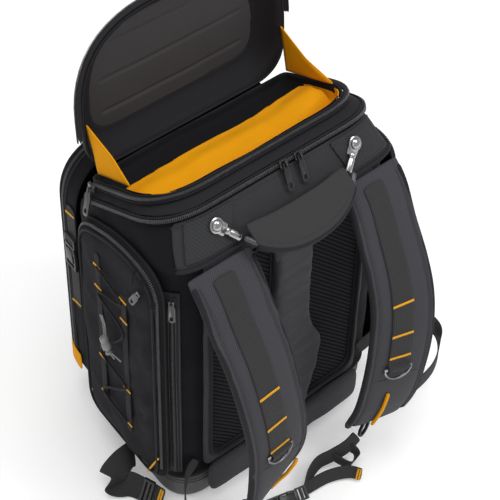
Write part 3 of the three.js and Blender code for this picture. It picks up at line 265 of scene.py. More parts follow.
# Adds a second mesh to the first, with the layers that it has.
def addTo(bm, one):
    for kind in ("int", "float"):
        layers = getattr(bm.verts.layers, kind)
        for label in getattr(one.verts.layers, kind).keys():
            layers.get(label) or layers.new(label)
    mesh = bpy.data.meshes.new("part")
    one.to_mesh(mesh)
    one.free()
    bm.from_mesh(mesh)
    bpy.data.meshes.remove(mesh)


# Makes the object, gives it its cloth map and material, and rides it on its body.
def finishPiece(bm, name, material, node=None, body="bag", levels=0, uv="box", sharp=None, flip=True):
    if flip:
        bmesh.ops.recalc_face_normals(bm, faces=bm.faces)
    if uv == "box":
        boxUv(bm)
    elif uv == "swept":
        sweptUv(bm)
    for face in bm.faces:
        face.smooth = True
    piece = asObject(bm, name)
    if sharp is not None:
        piece.data.set_sharp_from_angle(angle=math.radians(sharp))
    piece.data.materials.append(material)
    if levels:
        smoother = piece.modifiers.new("smooth", "SUBSURF")
        smoother.levels = levels
        smoother.render_levels = levels
        smoother.boundary_smooth = "PRESERVE_CORNERS"
    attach(piece, body)
    if node:
        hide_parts(*([node] if isinstance(node, str) else node))
    return piece


def nodeShape(node):
    bm = bmesh.new()
    bm.from_mesh(nodes[node].data)
    bmesh.ops.remove_doubles(bm, verts=bm.verts, dist=2e-5)
    for layer in list(bm.loops.layers.uv.values()):
        bm.loops.layers.uv.remove(layer)
    return bm


def bevelSharp(bm, width, segments, least=30):
    edges = [e for e in bm.edges if len(e.link_faces) == 2 and e.calc_face_angle(0) > math.radians(least)]
    bmesh.ops.bevel(bm, geom=edges, offset=width * mm, offset_type="OFFSET", segments=segments, profile=0.5,
                    affect="EDGES", clamp_overlap=True, material=-1)


# A rigid node again, with its edges rounded over as moulded or filed.
def roundedCopy(node, name, material, width, segments=2, body="bag", least=30):
    bm = nodeShape(node)
    bmesh.ops.dissolve_limit(bm, angle_limit=math.radians(2), verts=bm.verts, edges=bm.edges)
    bevelSharp(bm, width, segments, least)
    return finishPiece(bm, name, material, node=node, body=body, sharp=40)


# A node as an even skin of small faces, for padding.
def remeshed(node, voxel):
    piece = asObject(nodeShape(node), node + "Skin")
    mesh = piece.data
    modifier = piece.modifiers.new("skin", "REMESH")
    modifier.mode = "VOXEL"
    modifier.voxel_size = voxel * mm
    skin = bpy.data.meshes.new_from_object(piece.evaluated_get(bpy.context.evaluated_depsgraph_get()))
    bpy.data.objects.remove(piece)
    bpy.data.meshes.remove(mesh)
    bm = bmesh.new()
    bm.from_mesh(skin)
    bpy.data.meshes.remove(skin)
    return bm


# A round or flattened cord along points, added to the mesh.
def tube(bm, points, radius, sides=8, closed=False, ups=None, flat=1.0):
    run = [Vector(p) for p in points]
    count = len(run)
    up = ups[0].copy() if ups else Vector((0, 0, 1))
    rings, along, reach = [], [], 0.0
    for k, here in enumerate(run):
        before = run[k - 1] if closed or k else run[0]
        after = run[(k + 1) % count] if closed or k < count - 1 else run[-1]
        tangent = (after - before).normalized()
        if ups:
            up = ups[k].copy()
        elif k == 0 and abs(tangent.dot(up)) > 0.9:
            up = Vector((1, 0, 0))
        up = squared(up, tangent)
        side = tangent.cross(up)
        rings.append([here + side * math.cos(2 * math.pi * i / sides) * radius * mm
                      + up * math.sin(2 * math.pi * i / sides) * radius * flat * mm for i in range(sides)])
        along.append(reach)
        if k < count - 1:
            reach += (run[k + 1] - here).length
    across = [i / sides * 2 * math.pi * radius * mm for i in range(sides)]
    if closed:
        one = bmesh.new()
        loft(one, rings, closed=True, along=along + [reach], across=across)
        addTo(bm, one)
    else:
        loft(bm, rings, along=along, across=across)
    return bm


def evenly(route, count):
    return [onRoute(route, k / (count - 1)) for k in range(count)]


# A flat woven strap. Stations are (place, side, up) or (place, side, up, width scale, thick scale).
def ribbon(name, material, stations, width, thick, node=None, section=None, levels=1, body="bag"):
    edge = thick * 0.42
    section = section or [(-0.5, 0), (-0.5 + edge / width, -0.5), (-0.25, -0.5), (0, -0.5), (0.25, -0.5),
                          (0.5 - edge / width, -0.5), (0.5, 0), (0.5 - edge / width, 0.5), (0.25, 0.5), (0, 0.5),
                          (-0.25, 0.5), (-0.5 + edge / width, 0.5)]
    bm = bmesh.new()
    rings, along, reach = [], [], 0.0
    for k, station in enumerate(stations):
        place, side, up = station[:3]
        wide, deep = station[3:] if len(station) > 3 else (1, 1)
        rings.append([place + side * a * width * wide * mm + up * b * thick * deep * mm for a, b in section])
        if k:
            reach += (place - stations[k - 1][0]).length
        along.append(reach)
    loft(bm, rings, along=along, across=[a * width * mm for a, b in section])
    piece = finishPiece(bm, name, material, node=node, levels=levels, uv="swept", body=body)
    piece["clothLength"] = reach
    return piece


def routeStations(route, count, side, first=0, last=1):
    stations = []
    for k in range(count):
        share = mix(first, last, k / (count - 1))
        along = heading(route, share)
        across = squared(side, along)
        stations.append((onRoute(route, share), across, across.cross(along).normalized()))
    return stations


def bar(bm, middle, way, length, radius, sides):
    turn = way.to_track_quat("Z", "Y").to_matrix().to_4x4()
    bmesh.ops.create_cone(bm, cap_ends=True, segments=sides, radius1=radius * mm, radius2=radius * mm,
                          depth=length, matrix=Matrix.Translation(middle) @ turn)


# Sunk stitches in a row: a short thread, a gap, a short thread.
def threadRow(bm, route, pitch, length, radius, first=0.0, last=1.0):
    count = max(int(route["length"] * (last - first) / (pitch * mm)), 1)
    for k in range(count):
        a = onRoute(route, first + (last - first) * k / count)
        b = onRoute(route, first + (last - first) * k / count + length * mm / route["length"])
        if (b - a).length > 1e-5:
            bar(bm, (a + b) / 2, b - a, (b - a).length, radius, 5)


# A bar tack: threads side by side across a strap.
def tackRow(bm, place, side, along, up, width, length=2.8, pitch=1.15, radius=0.62):
    count = int(width / pitch)
    for k in range(count):
        middle = place + side * (k - (count - 1) / 2) * pitch * mm + up * 0.35 * mm
        lean = (along * length + side * (0.5 if k % 2 else -0.5)).normalized()
        bar(bm, middle, lean, length * mm, radius, 6)


# Bar tacks on both faces of a strap, at shares of its route.
def strapTacks(name, route, side, shares, width):
    tacks = bmesh.new()
    for share in shares:
        along = heading(route, share)
        across = squared(side, along)
        for hand in (1, -1):
            up = across.cross(along).normalized() * hand
            tackRow(tacks, onRoute(route, share) + up * 0.9 * mm, across, along, up, width, length=2.4)
    finishPiece(tacks, name, skins["yellowThread"])


# Coil teeth along a route; outs gives the way out of the cloth at each share.
def teethRow(bm, route, outs, pitch, length, width, height):
    count = int(route["length"] / (pitch * mm))
    for k in range(count):
        share = (k + 0.5) / count
        along = heading(route, share)
        out = squared(outs(share), along)
        side = along.cross(out)
        turn = Matrix((along * length * mm, side * width * mm, out * height * mm)).transposed().to_4x4()
        bmesh.ops.create_cube(bm, size=1, matrix=Matrix.Translation(onRoute(route, share)) @ turn)


# The frame of a piece that hangs from a point: x across it, y back up its length, z out of it
def hungFrame(place, hang, out):
    up = out.normalized()
    back = (up * hang.dot(up) - hang).normalized()
    return Matrix.Translation(place) @ Matrix((back.cross(up), back, up)).transposed().to_4x4()


# A flat moulding: an outline in millimetres, drawn out from one height to another
def plate(bm, outline, low, high, matrix):
    face = bmesh.ops.contextual_create(bm, geom=[bm.verts.new(matrix @ at(x, y, low)) for x, y in outline])["faces"]
    drawn = bmesh.ops.extrude_face_region(bm, geom=face)["geom"]
    lift = matrix.to_3x3() @ at(0, 0, high - low)
    bmesh.ops.translate(bm, verts=[g for g in drawn if isinstance(g, bmesh.types.BMVert)], vec=lift)


def rod(bm, a, b, radius, matrix, sides=10):
    a, b = matrix @ at(*a), matrix @ at(*b)
    bar(bm, (a + b) / 2, b - a, (b - a).length, radius, sides)


# A turned shape: (radius, height) pairs spun round the frame's own z
def turned(bm, profile, matrix, steps=20):
    one = bmesh.new()
    verts = [one.verts.new(at(r, 0, z)) for r, z in profile]
    edges = [one.edges.new(pair) for pair in zip(verts, verts[1:])]
    bmesh.ops.spin(one, geom=verts + edges, cent=(0, 0, 0), axis=(0, 0, 1), angle=2 * math.pi, steps=steps,
                   use_merge=True)
    bmesh.ops.remove_doubles(one, verts=one.verts, dist=1e-6)
    bmesh.ops.transform(one, matrix=matrix, verts=one.verts)
    bmesh.ops.recalc_face_normals(one, faces=one.faces)
    addTo(bm, one)


# Shader groups

# Gives a socket a value or a link.
def feed(tree, socket, value):
    if isinstance(value, bpy.types.NodeSocket):
        tree.links.new(value, socket)
    elif value is not None:
        socket.default_value = (*value, 1) if isinstance(value, tuple) else value


def newGroup(name, inputs, outputs):
    tree = bpy.data.node_groups.new(name, "ShaderNodeTree")
    for label, kind, value in inputs:
        socket = tree.interface.new_socket(label, in_out="INPUT", socket_type=kind)
        if value is not None:
            socket.default_value = value
    for label, kind in outputs:
        tree.interface.new_socket(label, in_out="OUTPUT", socket_type=kind)
    return tree, tree.nodes.new("NodeGroupInput"), tree.nodes.new("NodeGroupOutput")


def maths(tree, operation, a, b=None, c=None):
    node = tree.nodes.new("ShaderNodeMath")
    node.operation = operation
    for socket, value in zip(node.inputs, (a, b, c)):
        feed(tree, socket, value)
    return node.outputs[0]


def cloudNode(tree, vector, scale, detail=2.0):
    node = tree.nodes.new("ShaderNodeTexNoise")
    node.inputs["Scale"].default_value = scale
    node.inputs["Detail"].default_value = detail
    tree.links.new(vector, node.inputs["Vector"])
    return node.outputs["Fac"]


# Crossed threads with a twill that can be faded in. Vector and Pitch, the thread spacing, are in metres.
def makeWeave():
    tree, given, out = newGroup("weave", [("Vector", "NodeSocketVector", None), ("Pitch", "NodeSocketFloat", 0.0015),
                                          ("Twill", "NodeSocketFloat", 0.5)],
                                [("Height", "NodeSocketFloat")])
    parts = tree.nodes.new("ShaderNodeSeparateXYZ")
    tree.links.new(given.outputs["Vector"], parts.inputs[0])
    turns = [maths(tree, "MULTIPLY", maths(tree, "DIVIDE", parts.outputs[k], given.outputs["Pitch"]), 2 * math.pi)
             for k in (0, 1)]
    crossed = maths(tree, "MULTIPLY", maths(tree, "SINE", turns[0]), maths(tree, "SINE", turns[1]))
    slanted = maths(tree, "SINE", maths(tree, "MULTIPLY", maths(tree, "ADD", turns[0], turns[1]), 0.5))
    twill = maths(tree, "ADD", maths(tree, "MULTIPLY", slanted, given.outputs["Twill"]),
                  maths(tree, "MULTIPLY", crossed, maths(tree, "SUBTRACT", 1.0, given.outputs["Twill"])))
    tree.links.new(maths(tree, "MULTIPLY_ADD", twill, 0.5, 0.5), out.inputs["Height"])
    return tree


# Ribs that run along a strap: Pitch across it, with fine picks between.
def makeRibs():
    tree, given, out = newGroup("ribs", [("Vector", "NodeSocketVector", None), ("Pitch", "NodeSocketFloat", 0.003),
                                         ("Pick", "NodeSocketFloat", 0.0012)],
                                [("Height", "NodeSocketFloat")])
    parts = tree.nodes.new("ShaderNodeSeparateXYZ")
    tree.links.new(given.outputs["Vector"], parts.inputs[0])
    across = maths(tree, "MULTIPLY", maths(tree, "DIVIDE", parts.outputs[1], given.outputs["Pitch"]), 2 * math.pi)
    along = maths(tree, "MULTIPLY", maths(tree, "DIVIDE", parts.outputs[0], given.outputs["Pick"]), 2 * math.pi)
    rib = maths(tree, "POWER", maths(tree, "ABSOLUTE", maths(tree, "SINE", across)), 0.6)
    pick = maths(tree, "SINE", maths(tree, "ADD", along, across))
    tree.links.new(maths(tree, "MULTIPLY_ADD", pick, 0.16, maths(tree, "MULTIPLY", rib, 0.84)), out.inputs["Height"])
    return tree


# Uneven dye and handling: a slow cloud and a finer one, from 0 to 1 about a half.
def makeBlotch():
    tree, given, out = newGroup("blotch", [("Vector", "NodeSocketVector", None), ("Size", "NodeSocketFloat", 0.06)],
                                [("Shade", "NodeSocketFloat"), ("Fine", "NodeSocketFloat")])
    scaled = tree.nodes.new("ShaderNodeVectorMath")
    scaled.operation = "SCALE"
    tree.links.new(given.outputs["Vector"], scaled.inputs[0])
    tree.links.new(maths(tree, "DIVIDE", 1.0, given.outputs["Size"]), scaled.inputs["Scale"])
    for label, scale, detail in (("Shade", 1.0, 4.0), ("Fine", 14.0, 3.0)):
        tree.links.new(cloudNode(tree, scaled.outputs[0], scale, detail), out.inputs[label])
    return tree


# Light rubbed edges, broken up by a grain.
def makeWear():
    tree, given, out = newGroup("wear", [("Vector", "NodeSocketVector", None), ("Reach", "NodeSocketFloat", 0.53)],
                                [("Mask", "NodeSocketFloat")])
    edge = tree.nodes.new("ShaderNodeNewGeometry")
    grain = cloudNode(tree, given.outputs["Vector"], 260)
    rubbed = maths(tree, "SUBTRACT", edge.outputs["Pointiness"], given.outputs["Reach"])
    broken = maths(tree, "MULTIPLY", maths(tree, "MULTIPLY", rubbed, 9.0), grain)
    clamped = tree.nodes.new("ShaderNodeClamp")
    tree.links.new(broken, clamped.inputs["Value"])
    tree.links.new(clamped.outputs[0], out.inputs["Mask"])
    return tree


groups = {"weave": makeWeave(), "ribs": makeRibs(), "blotch": makeBlotch(), "wear": makeWear()}


def placeGroup(tree, name, **values):
    node = tree.nodes.new("ShaderNodeGroup")
    node.node_tree = groups[name]
    for label, value in values.items():
        feed(tree, node.inputs[label], value)
    return node


def newMaterial(name):
    material = bpy.data.materials.new(name)
    material.use_nodes = True
    tree = material.node_tree
    tree.nodes.clear()
    shader = tree.nodes.new("ShaderNodeBsdfPrincipled")
    out = tree.nodes.new("ShaderNodeOutputMaterial")
    tree.links.new(shader.outputs[0], out.inputs["Surface"])
    return material, tree, shader


def blend(tree, low, high, share):
    node = tree.nodes.new("ShaderNodeMix")
    node.data_type = "RGBA"
    for label, value in (("Factor", share), ("A", low), ("B", high)):
        feed(tree, node.inputs[label], value)
    return node.outputs["Result"]


def bump(tree, shader, height, depth, strength=1.0):
    node = tree.nodes.new("ShaderNodeBump")
    node.inputs["Strength"].default_value = strength
    node.inputs["Distance"].default_value = depth * mm
    tree.links.new(height, node.inputs["Height"])
    tree.links.new(node.outputs[0], shader.inputs["Normal"])


# Woven cloth: threads from the piece's own map, uneven dye from its place on the bag.
def clothMaterial(name, look):
    material, tree, shader = newMaterial(name)
    own = tree.nodes.new("ShaderNodeUVMap")
    own.uv_map = "clothUv"
    place = tree.nodes.new("ShaderNodeTexCoord")
    if look.get("kind") == "ribs":
        threads = placeGroup(tree, "ribs", Vector=own.outputs[0], Pitch=look["pitch"] * mm, Pick=look["pick"] * mm)
    else:
        threads = placeGroup(tree, "weave", Vector=own.outputs[0], Pitch=look["pitch"] * mm, Twill=look["twill"])
    cloud = placeGroup(tree, "blotch", Vector=place.outputs["Object"], Size=look["blotch"] * mm)
    low = tuple(c * look["deep"] for c in look["colour"])
    high = tuple(min(c * look["lift"], 1) for c in look["colour"])
    dyed = blend(tree, tuple(c * 0.78 for c in look["colour"]), look["colour"], cloud.outputs["Shade"])
    woven = blend(tree, low, high, threads.outputs["Height"])
    tree.links.new(blend(tree, dyed, woven, look.get("threadShow", 0.6)), shader.inputs["Base Color"])
    rough = maths(tree, "MULTIPLY_ADD", cloud.outputs["Fine"], 0.16, look["rough"] - 0.08)
    tree.links.new(rough, shader.inputs["Roughness"])
    shader.inputs["Sheen Weight"].default_value = look.get("sheen", 0.03)
    shader.inputs["Sheen Roughness"].default_value = 0.4
    shader.inputs["Specular IOR Level"].default_value = look.get("specular", 0.3)
    fuzz = maths(tree, "MULTIPLY_ADD", cloud.outputs["Fine"], 0.35, threads.outputs["Height"])
    bump(tree, shader, fuzz, look["depth"], look.get("strength", 0.8))
    return material


# Moulded plastic, rubber or metal: fine grain, uneven gloss and rubbed edges.
def hardMaterial(name, look):
    material, tree, shader = newMaterial(name)
    place = tree.nodes.new("ShaderNodeTexCoord")
    cloud = placeGroup(tree, "blotch", Vector=place.outputs["Object"], Size=look["blotch"] * mm)
    worn = placeGroup(tree, "wear", Vector=place.outputs["Object"], Reach=look.get("reach", 0.53))
    base = blend(tree, tuple(c * 0.82 for c in look["colour"]), look["colour"], cloud.outputs["Shade"])
    tree.links.new(blend(tree, base, look["worn"], worn.outputs["Mask"]), shader.inputs["Base Color"])
    tree.links.new(maths(tree, "MULTIPLY_ADD", cloud.outputs["Fine"], 0.2, look["rough"] - 0.1),
                   shader.inputs["Roughness"])
    shader.inputs["Metallic"].default_value = look.get("metal", 0.0)
    shader.inputs["Specular IOR Level"].default_value = look.get("specular", 0.45)
    grain = cloudNode(tree, place.outputs["Object"], 1000 / look["grain"], 4)
    bump(tree, shader, grain, look["depth"], look.get("strength", 0.5))
    return material


finishes = {
    "blackCloth": {"colour": (0.0095, 0.0095, 0.0118), "pitch": 1.5, "twill": 0.35, "deep": 0.55, "lift": 1.6,
                   "blotch": 70, "rough": 0.86, "depth": 0.24, "specular": 0.09},
    "collarCloth": {"colour": (0.0155, 0.0155, 0.0178), "pitch": 1.3, "twill": 0.3, "deep": 0.55, "lift": 1.6,
                    "blotch": 50, "rough": 0.8, "depth": 0.2, "specular": 0.14},
    "yokeCloth": {"colour": (0.034, 0.0345, 0.0375), "pitch": 2.2, "twill": 0.45, "deep": 0.5, "lift": 1.5,
                  "blotch": 80, "rough": 0.82, "depth": 0.3, "threadShow": 0.6, "specular": 0.12},
    "padCloth": {"colour": (0.051, 0.0515, 0.0575), "pitch": 1.9, "twill": 0.75, "deep": 0.6, "lift": 1.35,
                 "blotch": 60, "rough": 0.82, "depth": 0.26, "sheen": 0.05, "specular": 0.12},
    "meshCloth": {"colour": (0.011, 0.011, 0.013), "pitch": 3.4, "twill": 1.0, "deep": 0.1, "lift": 2.4,
                  "blotch": 50, "rough": 0.9, "depth": 0.9, "threadShow": 0.9, "specular": 0.08},
    "webbing": {"kind": "ribs", "colour": (0.033, 0.033, 0.0345), "pitch": 5.4, "pick": 1.4, "deep": 0.35, "lift": 1.4,
                "blotch": 40, "rough": 0.7, "depth": 0.55, "threadShow": 0.8, "specular": 0.16},
    "darkWebbing": {"kind": "ribs", "colour": (0.014, 0.014, 0.016), "pitch": 4.4, "pick": 1.4, "deep": 0.4,
                    "lift": 1.5, "blotch": 40, "rough": 0.74, "depth": 0.45, "threadShow": 0.7, "specular": 0.12},
    "binding": {"kind": "ribs", "colour": (0.0155, 0.0155, 0.0178), "pitch": 2.2, "pick": 1.2, "deep": 0.55,
                "lift": 1.5, "blotch": 40, "rough": 0.74, "depth": 0.25, "specular": 0.16},
    "zipTape": {"kind": "ribs", "colour": (0.021, 0.021, 0.0235), "pitch": 2.0, "pick": 1.0, "deep": 0.55,
                "lift": 1.5, "blotch": 40, "rough": 0.75, "depth": 0.2, "specular": 0.14},
    "yellowCloth": {"colour": (0.8, 0.335, 0.003), "pitch": 1.0, "twill": 0.2, "deep": 0.9, "lift": 1.06,
                    "blotch": 34, "rough": 0.82, "depth": 0.14, "threadShow": 0.35, "sheen": 0.0, "specular": 0.12},
    # The near-black tray cloth below is painted shade. It lies over the yellow lining's walls and far floor, and is
    # dark too for the tools that lie at the far side.
    "trayPaintedShade": {"colour": (0.009, 0.009, 0.0105), "pitch": 1.3, "twill": 0.3, "deep": 0.6, "lift": 1.4,
                  "blotch": 50, "rough": 0.85, "depth": 0.15, "specular": 0.08},
    "lidCloth": {"colour": (0.0165, 0.0165, 0.0195), "pitch": 1.3, "twill": 0.3, "deep": 0.7, "lift": 1.3,
                 "blotch": 60, "rough": 0.76, "depth": 0.14, "specular": 0.14},
    "linerCloth": {"colour": (0.05, 0.0505, 0.0545), "pitch": 1.1, "twill": 0.2, "deep": 0.75, "lift": 1.2,
                   "blotch": 35, "rough": 0.66, "depth": 0.1, "sheen": 0.02, "specular": 0.16},
    "gripCloth": {"colour": (0.031, 0.0295, 0.0305), "pitch": 0.9, "twill": 0.1, "deep": 0.82, "lift": 1.14,
                  "blotch": 24, "rough": 0.6, "depth": 0.12, "specular": 0.2},
    "yellowThread": {"kind": "ribs", "colour": (0.8, 0.4, 0.012), "pitch": 0.8, "pick": 0.6, "deep": 0.8,
                     "lift": 1.15, "blotch": 20, "rough": 0.6, "depth": 0.1},
    "blackThread": {"kind": "ribs", "colour": (0.04, 0.04, 0.043), "pitch": 0.8, "pick": 0.6, "deep": 0.7,
                    "lift": 1.3, "blotch": 20, "rough": 0.55, "depth": 0.1},
}
hardFinishes = {
    "rubber": {"colour": (0.085, 0.085, 0.089), "worn": (0.16, 0.16, 0.165), "rough": 0.5, "blotch": 50,
               "grain": 0.9, "depth": 0.18, "specular": 0.35},
    "blackPlastic": {"colour": (0.012, 0.012, 0.0135), "worn": (0.05, 0.05, 0.052), "rough": 0.36, "blotch": 20,
                     "grain": 0.7, "depth": 0.08},
    "zipCoil": {"colour": (0.014, 0.014, 0.0155), "worn": (0.05, 0.05, 0.052), "rough": 0.38, "blotch": 20,
                "grain": 0.7, "depth": 0.05},
    "blackMetal": {"colour": (0.04, 0.04, 0.042), "worn": (0.34, 0.34, 0.35), "rough": 0.3, "blotch": 12,
                   "grain": 0.8, "depth": 0.05, "metal": 0.85},
    "greyMetal": {"colour": (0.085, 0.085, 0.088), "worn": (0.3, 0.3, 0.3), "rough": 0.4, "blotch": 12,
                  "grain": 0.8, "depth": 0.05, "metal": 0.85},
    "ringMetal": {"colour": (0.16, 0.16, 0.165), "worn": (0.5, 0.5, 0.5), "rough": 0.24, "blotch": 12,
                  "grain": 0.8, "depth": 0.04, "metal": 0.95},
    "chrome": {"colour": (0.42, 0.42, 0.42), "worn": (0.7, 0.7, 0.7), "rough": 0.2, "blotch": 10,
               "grain": 1.2, "depth": 0.03, "metal": 1.0},
    "cable": {"colour": (0.05, 0.052, 0.062), "worn": (0.12, 0.12, 0.13), "rough": 0.28, "blotch": 20,
              "grain": 0.9, "depth": 0.05},
    "paleToggle": {"colour": (0.2, 0.2, 0.195), "worn": (0.3, 0.3, 0.3), "rough": 0.42, "blotch": 12,
                   "grain": 0.8, "depth": 0.06},
}
skins = {name: clothMaterial(name, look) for name, look in finishes.items()}
skins.update({name: hardMaterial(name, look) for name, look in hardFinishes.items()})
print("materials made")

# Frames that pieces share: the top tray's tilted plane and the open lid
topPlace = {"hingeY": 68, "hingeZ": 436, "tilt": 22.4, "lean": 3}
hinge = Matrix.Translation((0, topPlace["hingeY"] * mm, topPlace["hingeZ"] * mm))
topFrame = hinge @ Matrix.Rotation(math.radians(-topPlace["tilt"]), 4, "X")
lidFrame = hinge @ Matrix.Rotation(math.radians(90 - topPlace["lean"]), 4, "X")
rimPlan = {"back": -139, "front": 0, "halfBack": 149, "halfFront": 149, "cornerBack": 62, "cornerFront": 12}
zipPlan = {"back": -155, "front": 11, "halfBack": 160, "halfFront": 160, "cornerBack": 62, "cornerFront": 23}
lidPlan = {"back": 0.1, "front": 190.1, "halfBack": 149, "halfFront": 149, "cornerBack": 49.4,
           "cornerFront": 110.2}
bodyPlan = {"back": -103, "front": 95, "halfBack": 172, "halfFront": 152, "cornerBack": 46, "cornerFront": 22}
shoulderPlan = dict(bodyPlan, back=-110.5)


def onTop(x, y, z):
    return topFrame @ at(x, y, z)


def onLid(x, y, z):
    return lidFrame @ at(x, y, z)


def topRing(plan, inset, z):
    return [onTop(p.x, p.y, z) for p in fourCorners(plan, inset)]


def lidRing(inset, z):
    return [onLid(p.x, p.y, z) for p in fourCorners(lidPlan, inset)]


def shoulderHeight(y):
    return 421.5 - 38 * (y + 110.5) / 205.5


# Extra rings inside the last one, drawn towards its middle, so that a wide face has points to fold.
def spread(rings, sizes):
    last = rings[-1]
    middle = sum(last, Vector()) / len(last)
    return rings + [[middle + (p - middle) * size for p in last] for size in sizes]


# Moulded base
base = {"plan": {"back": -107, "front": 126, "halfBack": 167, "halfFront": 142, "cornerBack": 52, "cornerFront": 52},
        "rows": [(18, 4.6), (6.5, 4.3), (4, 7), (4, 40.5), (3.2, 42), (0.8, 42), (0, 41), (0, 22), (0, 12),
                 (0.5, 7), (2.4, 2.4), (6, 0.2), (16, 0)]}


def buildBase():
    bm = bmesh.new()
    rings = [[at(p.x, p.y, z) for p in fourCorners(base["plan"], inset)] for inset, z in base["rows"]]
    loft(bm, rings)
    finishPiece(bm, "baseTray", skins["rubber"], node="base_tray", levels=1)
    line = bmesh.new()
    for z in (31, 36):
        tube(line, [at(p.x, p.y, z) for p in fourCorners(base["plan"], -0.1)], 0.9, 6, closed=True)
    finishPiece(line, "baseRidges", skins["rubber"])


buildBase()

# Cloth body
body = {"folds": [((60, 60, 34), 2.4, 3), ((24, 24, 15), 1.1, 11)],
        "shoulderFolds": [((60, 34, 26), 3.4, 5), ((24, 14, 12), 1.2, 8)], "wall": 3}


def fromAxis(co):
    return Vector((co.x / 0.17, co.y / 0.1, 0)).normalized()


def buildBody():
    swollen = dict(bodyPlan, halfBack=173.5, halfFront=153.5)
    step = dict(bodyPlan, back=-108, front=126, cornerFront=52)
    rows = [(base["plan"], 7.3, 6.3), (base["plan"], 10.3, 4.3), (base["plan"], 42.3, 4.3), (step, 44.3, 2),
            (step, 54, 0), (bodyPlan, 58, 0), (swollen, 150, 0.4), (swollen, 240, 0), (swollen, 330, 0.4)]

    def ring(wall):
        rings = [[at(p.x, p.y, z) for p in fourCorners(plan, inset + wall)] for plan, z, inset in rows]
        for plan, fall in ((bodyPlan, -1.6), (shoulderPlan, 0)):
            rings.append([at(p.x, p.y, shoulderHeight(p.y) + fall) for p in fourCorners(plan, wall)])
        rings.append(topRing(zipPlan, 2 + wall, -25.3))
        return rings

    inner, outer = ring(body["wall"]), ring(0)
    for row in inner[:2]:
        for point in row:
            point.z += body["wall"] * mm
    bm = bmesh.new()
    loft(bm, inner + outer[::-1])
    splitLong(bm, 0.016)
    crumple(bm, body["folds"], fromAxis, lambda co: smoothstep(co.z, 0.06, 0.1) * (1 - smoothstep(co.z, 0.36, 0.4)))
    crumple(bm, body["shoulderFolds"], lambda co: Vector((-0.75, -0.1, 0.65)),
            lambda co: smoothstep(co.z, 0.372, 0.392) * smoothstep(-co.x, 0.1, 0.125) * smoothstep(co.y, -0.1, -0.075))
    finishPiece(bm, "bodyCloth", skins["blackCloth"], node="main_body", levels=1)


buildBody()
print("body made")

# Yoke over the back's top, with its bound lower edge and its stitching
yoke = {"first": 6, "last": 19, "straight": 30, "thick": 2.6, "seat": 0.8, "folds": [((40, 40, 30), 0.7, 5)],
        "out": Vector((0, -0.63, 0.77))}
# Its upper and lower lines with even stations: round a corner, across the back, round the next
yokeUpper = topRing(zipPlan, 2, -25.3)
yokeLower = [at(p.x, p.y, shoulderHeight(p.y)) for p in fourCorners(shoulderPlan)]


# `place` counts points: 0 to 12 round the left corner, 13 to 25 round the right one.
def onYoke(place, share, rise):
    low = int(math.floor(place))
    high = min(low + 1, len(yokeUpper) - 1)
    upper = yokeUpper[low].lerp(yokeUpper[high], place - low)
    lower = yokeLower[low].lerp(yokeLower[high], place - low)
    down = (lower - upper).normalized()
    a = yokeLower[max(low - 1, 0)] if place - low < 1e-6 else yokeLower[low]
    along = (yokeLower[high] - a).normalized()
    return upper.lerp(lower, share) + down.cross(along).normalized() * rise * mm


def yokePlaces():
    straight = [12 + k / yoke["straight"] for k in range(yoke["straight"] + 1)]
    return list(range(yoke["first"], 12)) + straight + list(range(14, yoke["last"] + 1))


def buildYoke():
    places = yokePlaces()
    thick, seat = yoke["thick"], yoke["seat"]
    shares = [0.06, 0.2, 0.34, 0.48, 0.62, 0.76, 0.88, 0.955]
    rings, along, reach = [], [], 0.0
    section = [(s, seat) for s in shares] + [(1.0, seat)] + [(s, seat + thick) for s in reversed(shares)]
    section += [(0.05, seat + thick * 0.5)]
    for k, place in enumerate(places):
        rings.append([onYoke(place, share, rise) for share, rise in section])
        if k:
            reach += (rings[k][5] - rings[k - 1][5]).length
        along.append(reach)
    slope = (yokeLower[12] - yokeUpper[12]).length
    bm = bmesh.new()
    loft(bm, rings, along=along, across=[share * slope for share, rise in section])
    crumple(bm, yoke["folds"], lambda co: yoke["out"])
    panel = finishPiece(bm, "yokePanel", skins["yokeCloth"], node="yoke_panel", levels=1,
                        uv="swept")
    edge = bmesh.new()
    tube(edge, [onYoke(p, 0.98, seat + thick + 0.6) for p in places], 2.8, 8, flat=0.8,
         ups=[yoke["out"]] * len(places))
    finishPiece(edge, "yokeBinding", skins["binding"], levels=1, uv="swept")
    thread = bmesh.new()
    for share in (0.12, 0.155, 0.9):
        threadRow(thread, straightRoute([onYoke(p, share, seat + thick + 0.25) for p in places]), 3.4, 2.2, 0.32)
    finishPiece(thread, "yokeStitches", skins["blackThread"])


buildYoke()

# Top tray: zip round the bag, collar, rim zip and the yellow lining
tray = {"zipDrop": 22, "zipSize": 6, "wall": 2.4, "floor": 428, "crown": 17, "rise": 13, "crest": 27,
        "collarFolds": [((110, 12, 5), 2.2, 7), ((40, 14, 6), 1.2, 2)]}


def buildMainZip():
    size, drop = tray["zipSize"], tray["zipDrop"]
    bm = bmesh.new()
    loft(bm, [topRing(zipPlan, inset, -drop + z) for inset, z in
              ((size, -3), (0, -3), (-1.6, -2.9), (-2.0, -1.2), (-2.0, 1.0), (-1.0, 2.9), (size, 3))], closed=True)
    finishPiece(bm, "mainZipTape", skins["zipTape"], node="main_zip", levels=1)
    coil = bmesh.new()
    line = straightRoute(topRing(zipPlan, -2.6, -drop), closed=True)
    middle = onTop(0, -70, -drop)
    teethRow(coil, line, lambda share: onRoute(line, share) - middle, 2.2, 1.3, 4.4, 1.6)
    finishPiece(coil, "mainZipCoil", skins["zipCoil"])
    cords = bmesh.new()
    for rise in (-3.1, 3.1):
        tube(cords, topRing(zipPlan, -0.6, -drop + rise), 1.1, 6, closed=True)
    finishPiece(cords, "mainZipCords", skins["binding"], uv="swept")


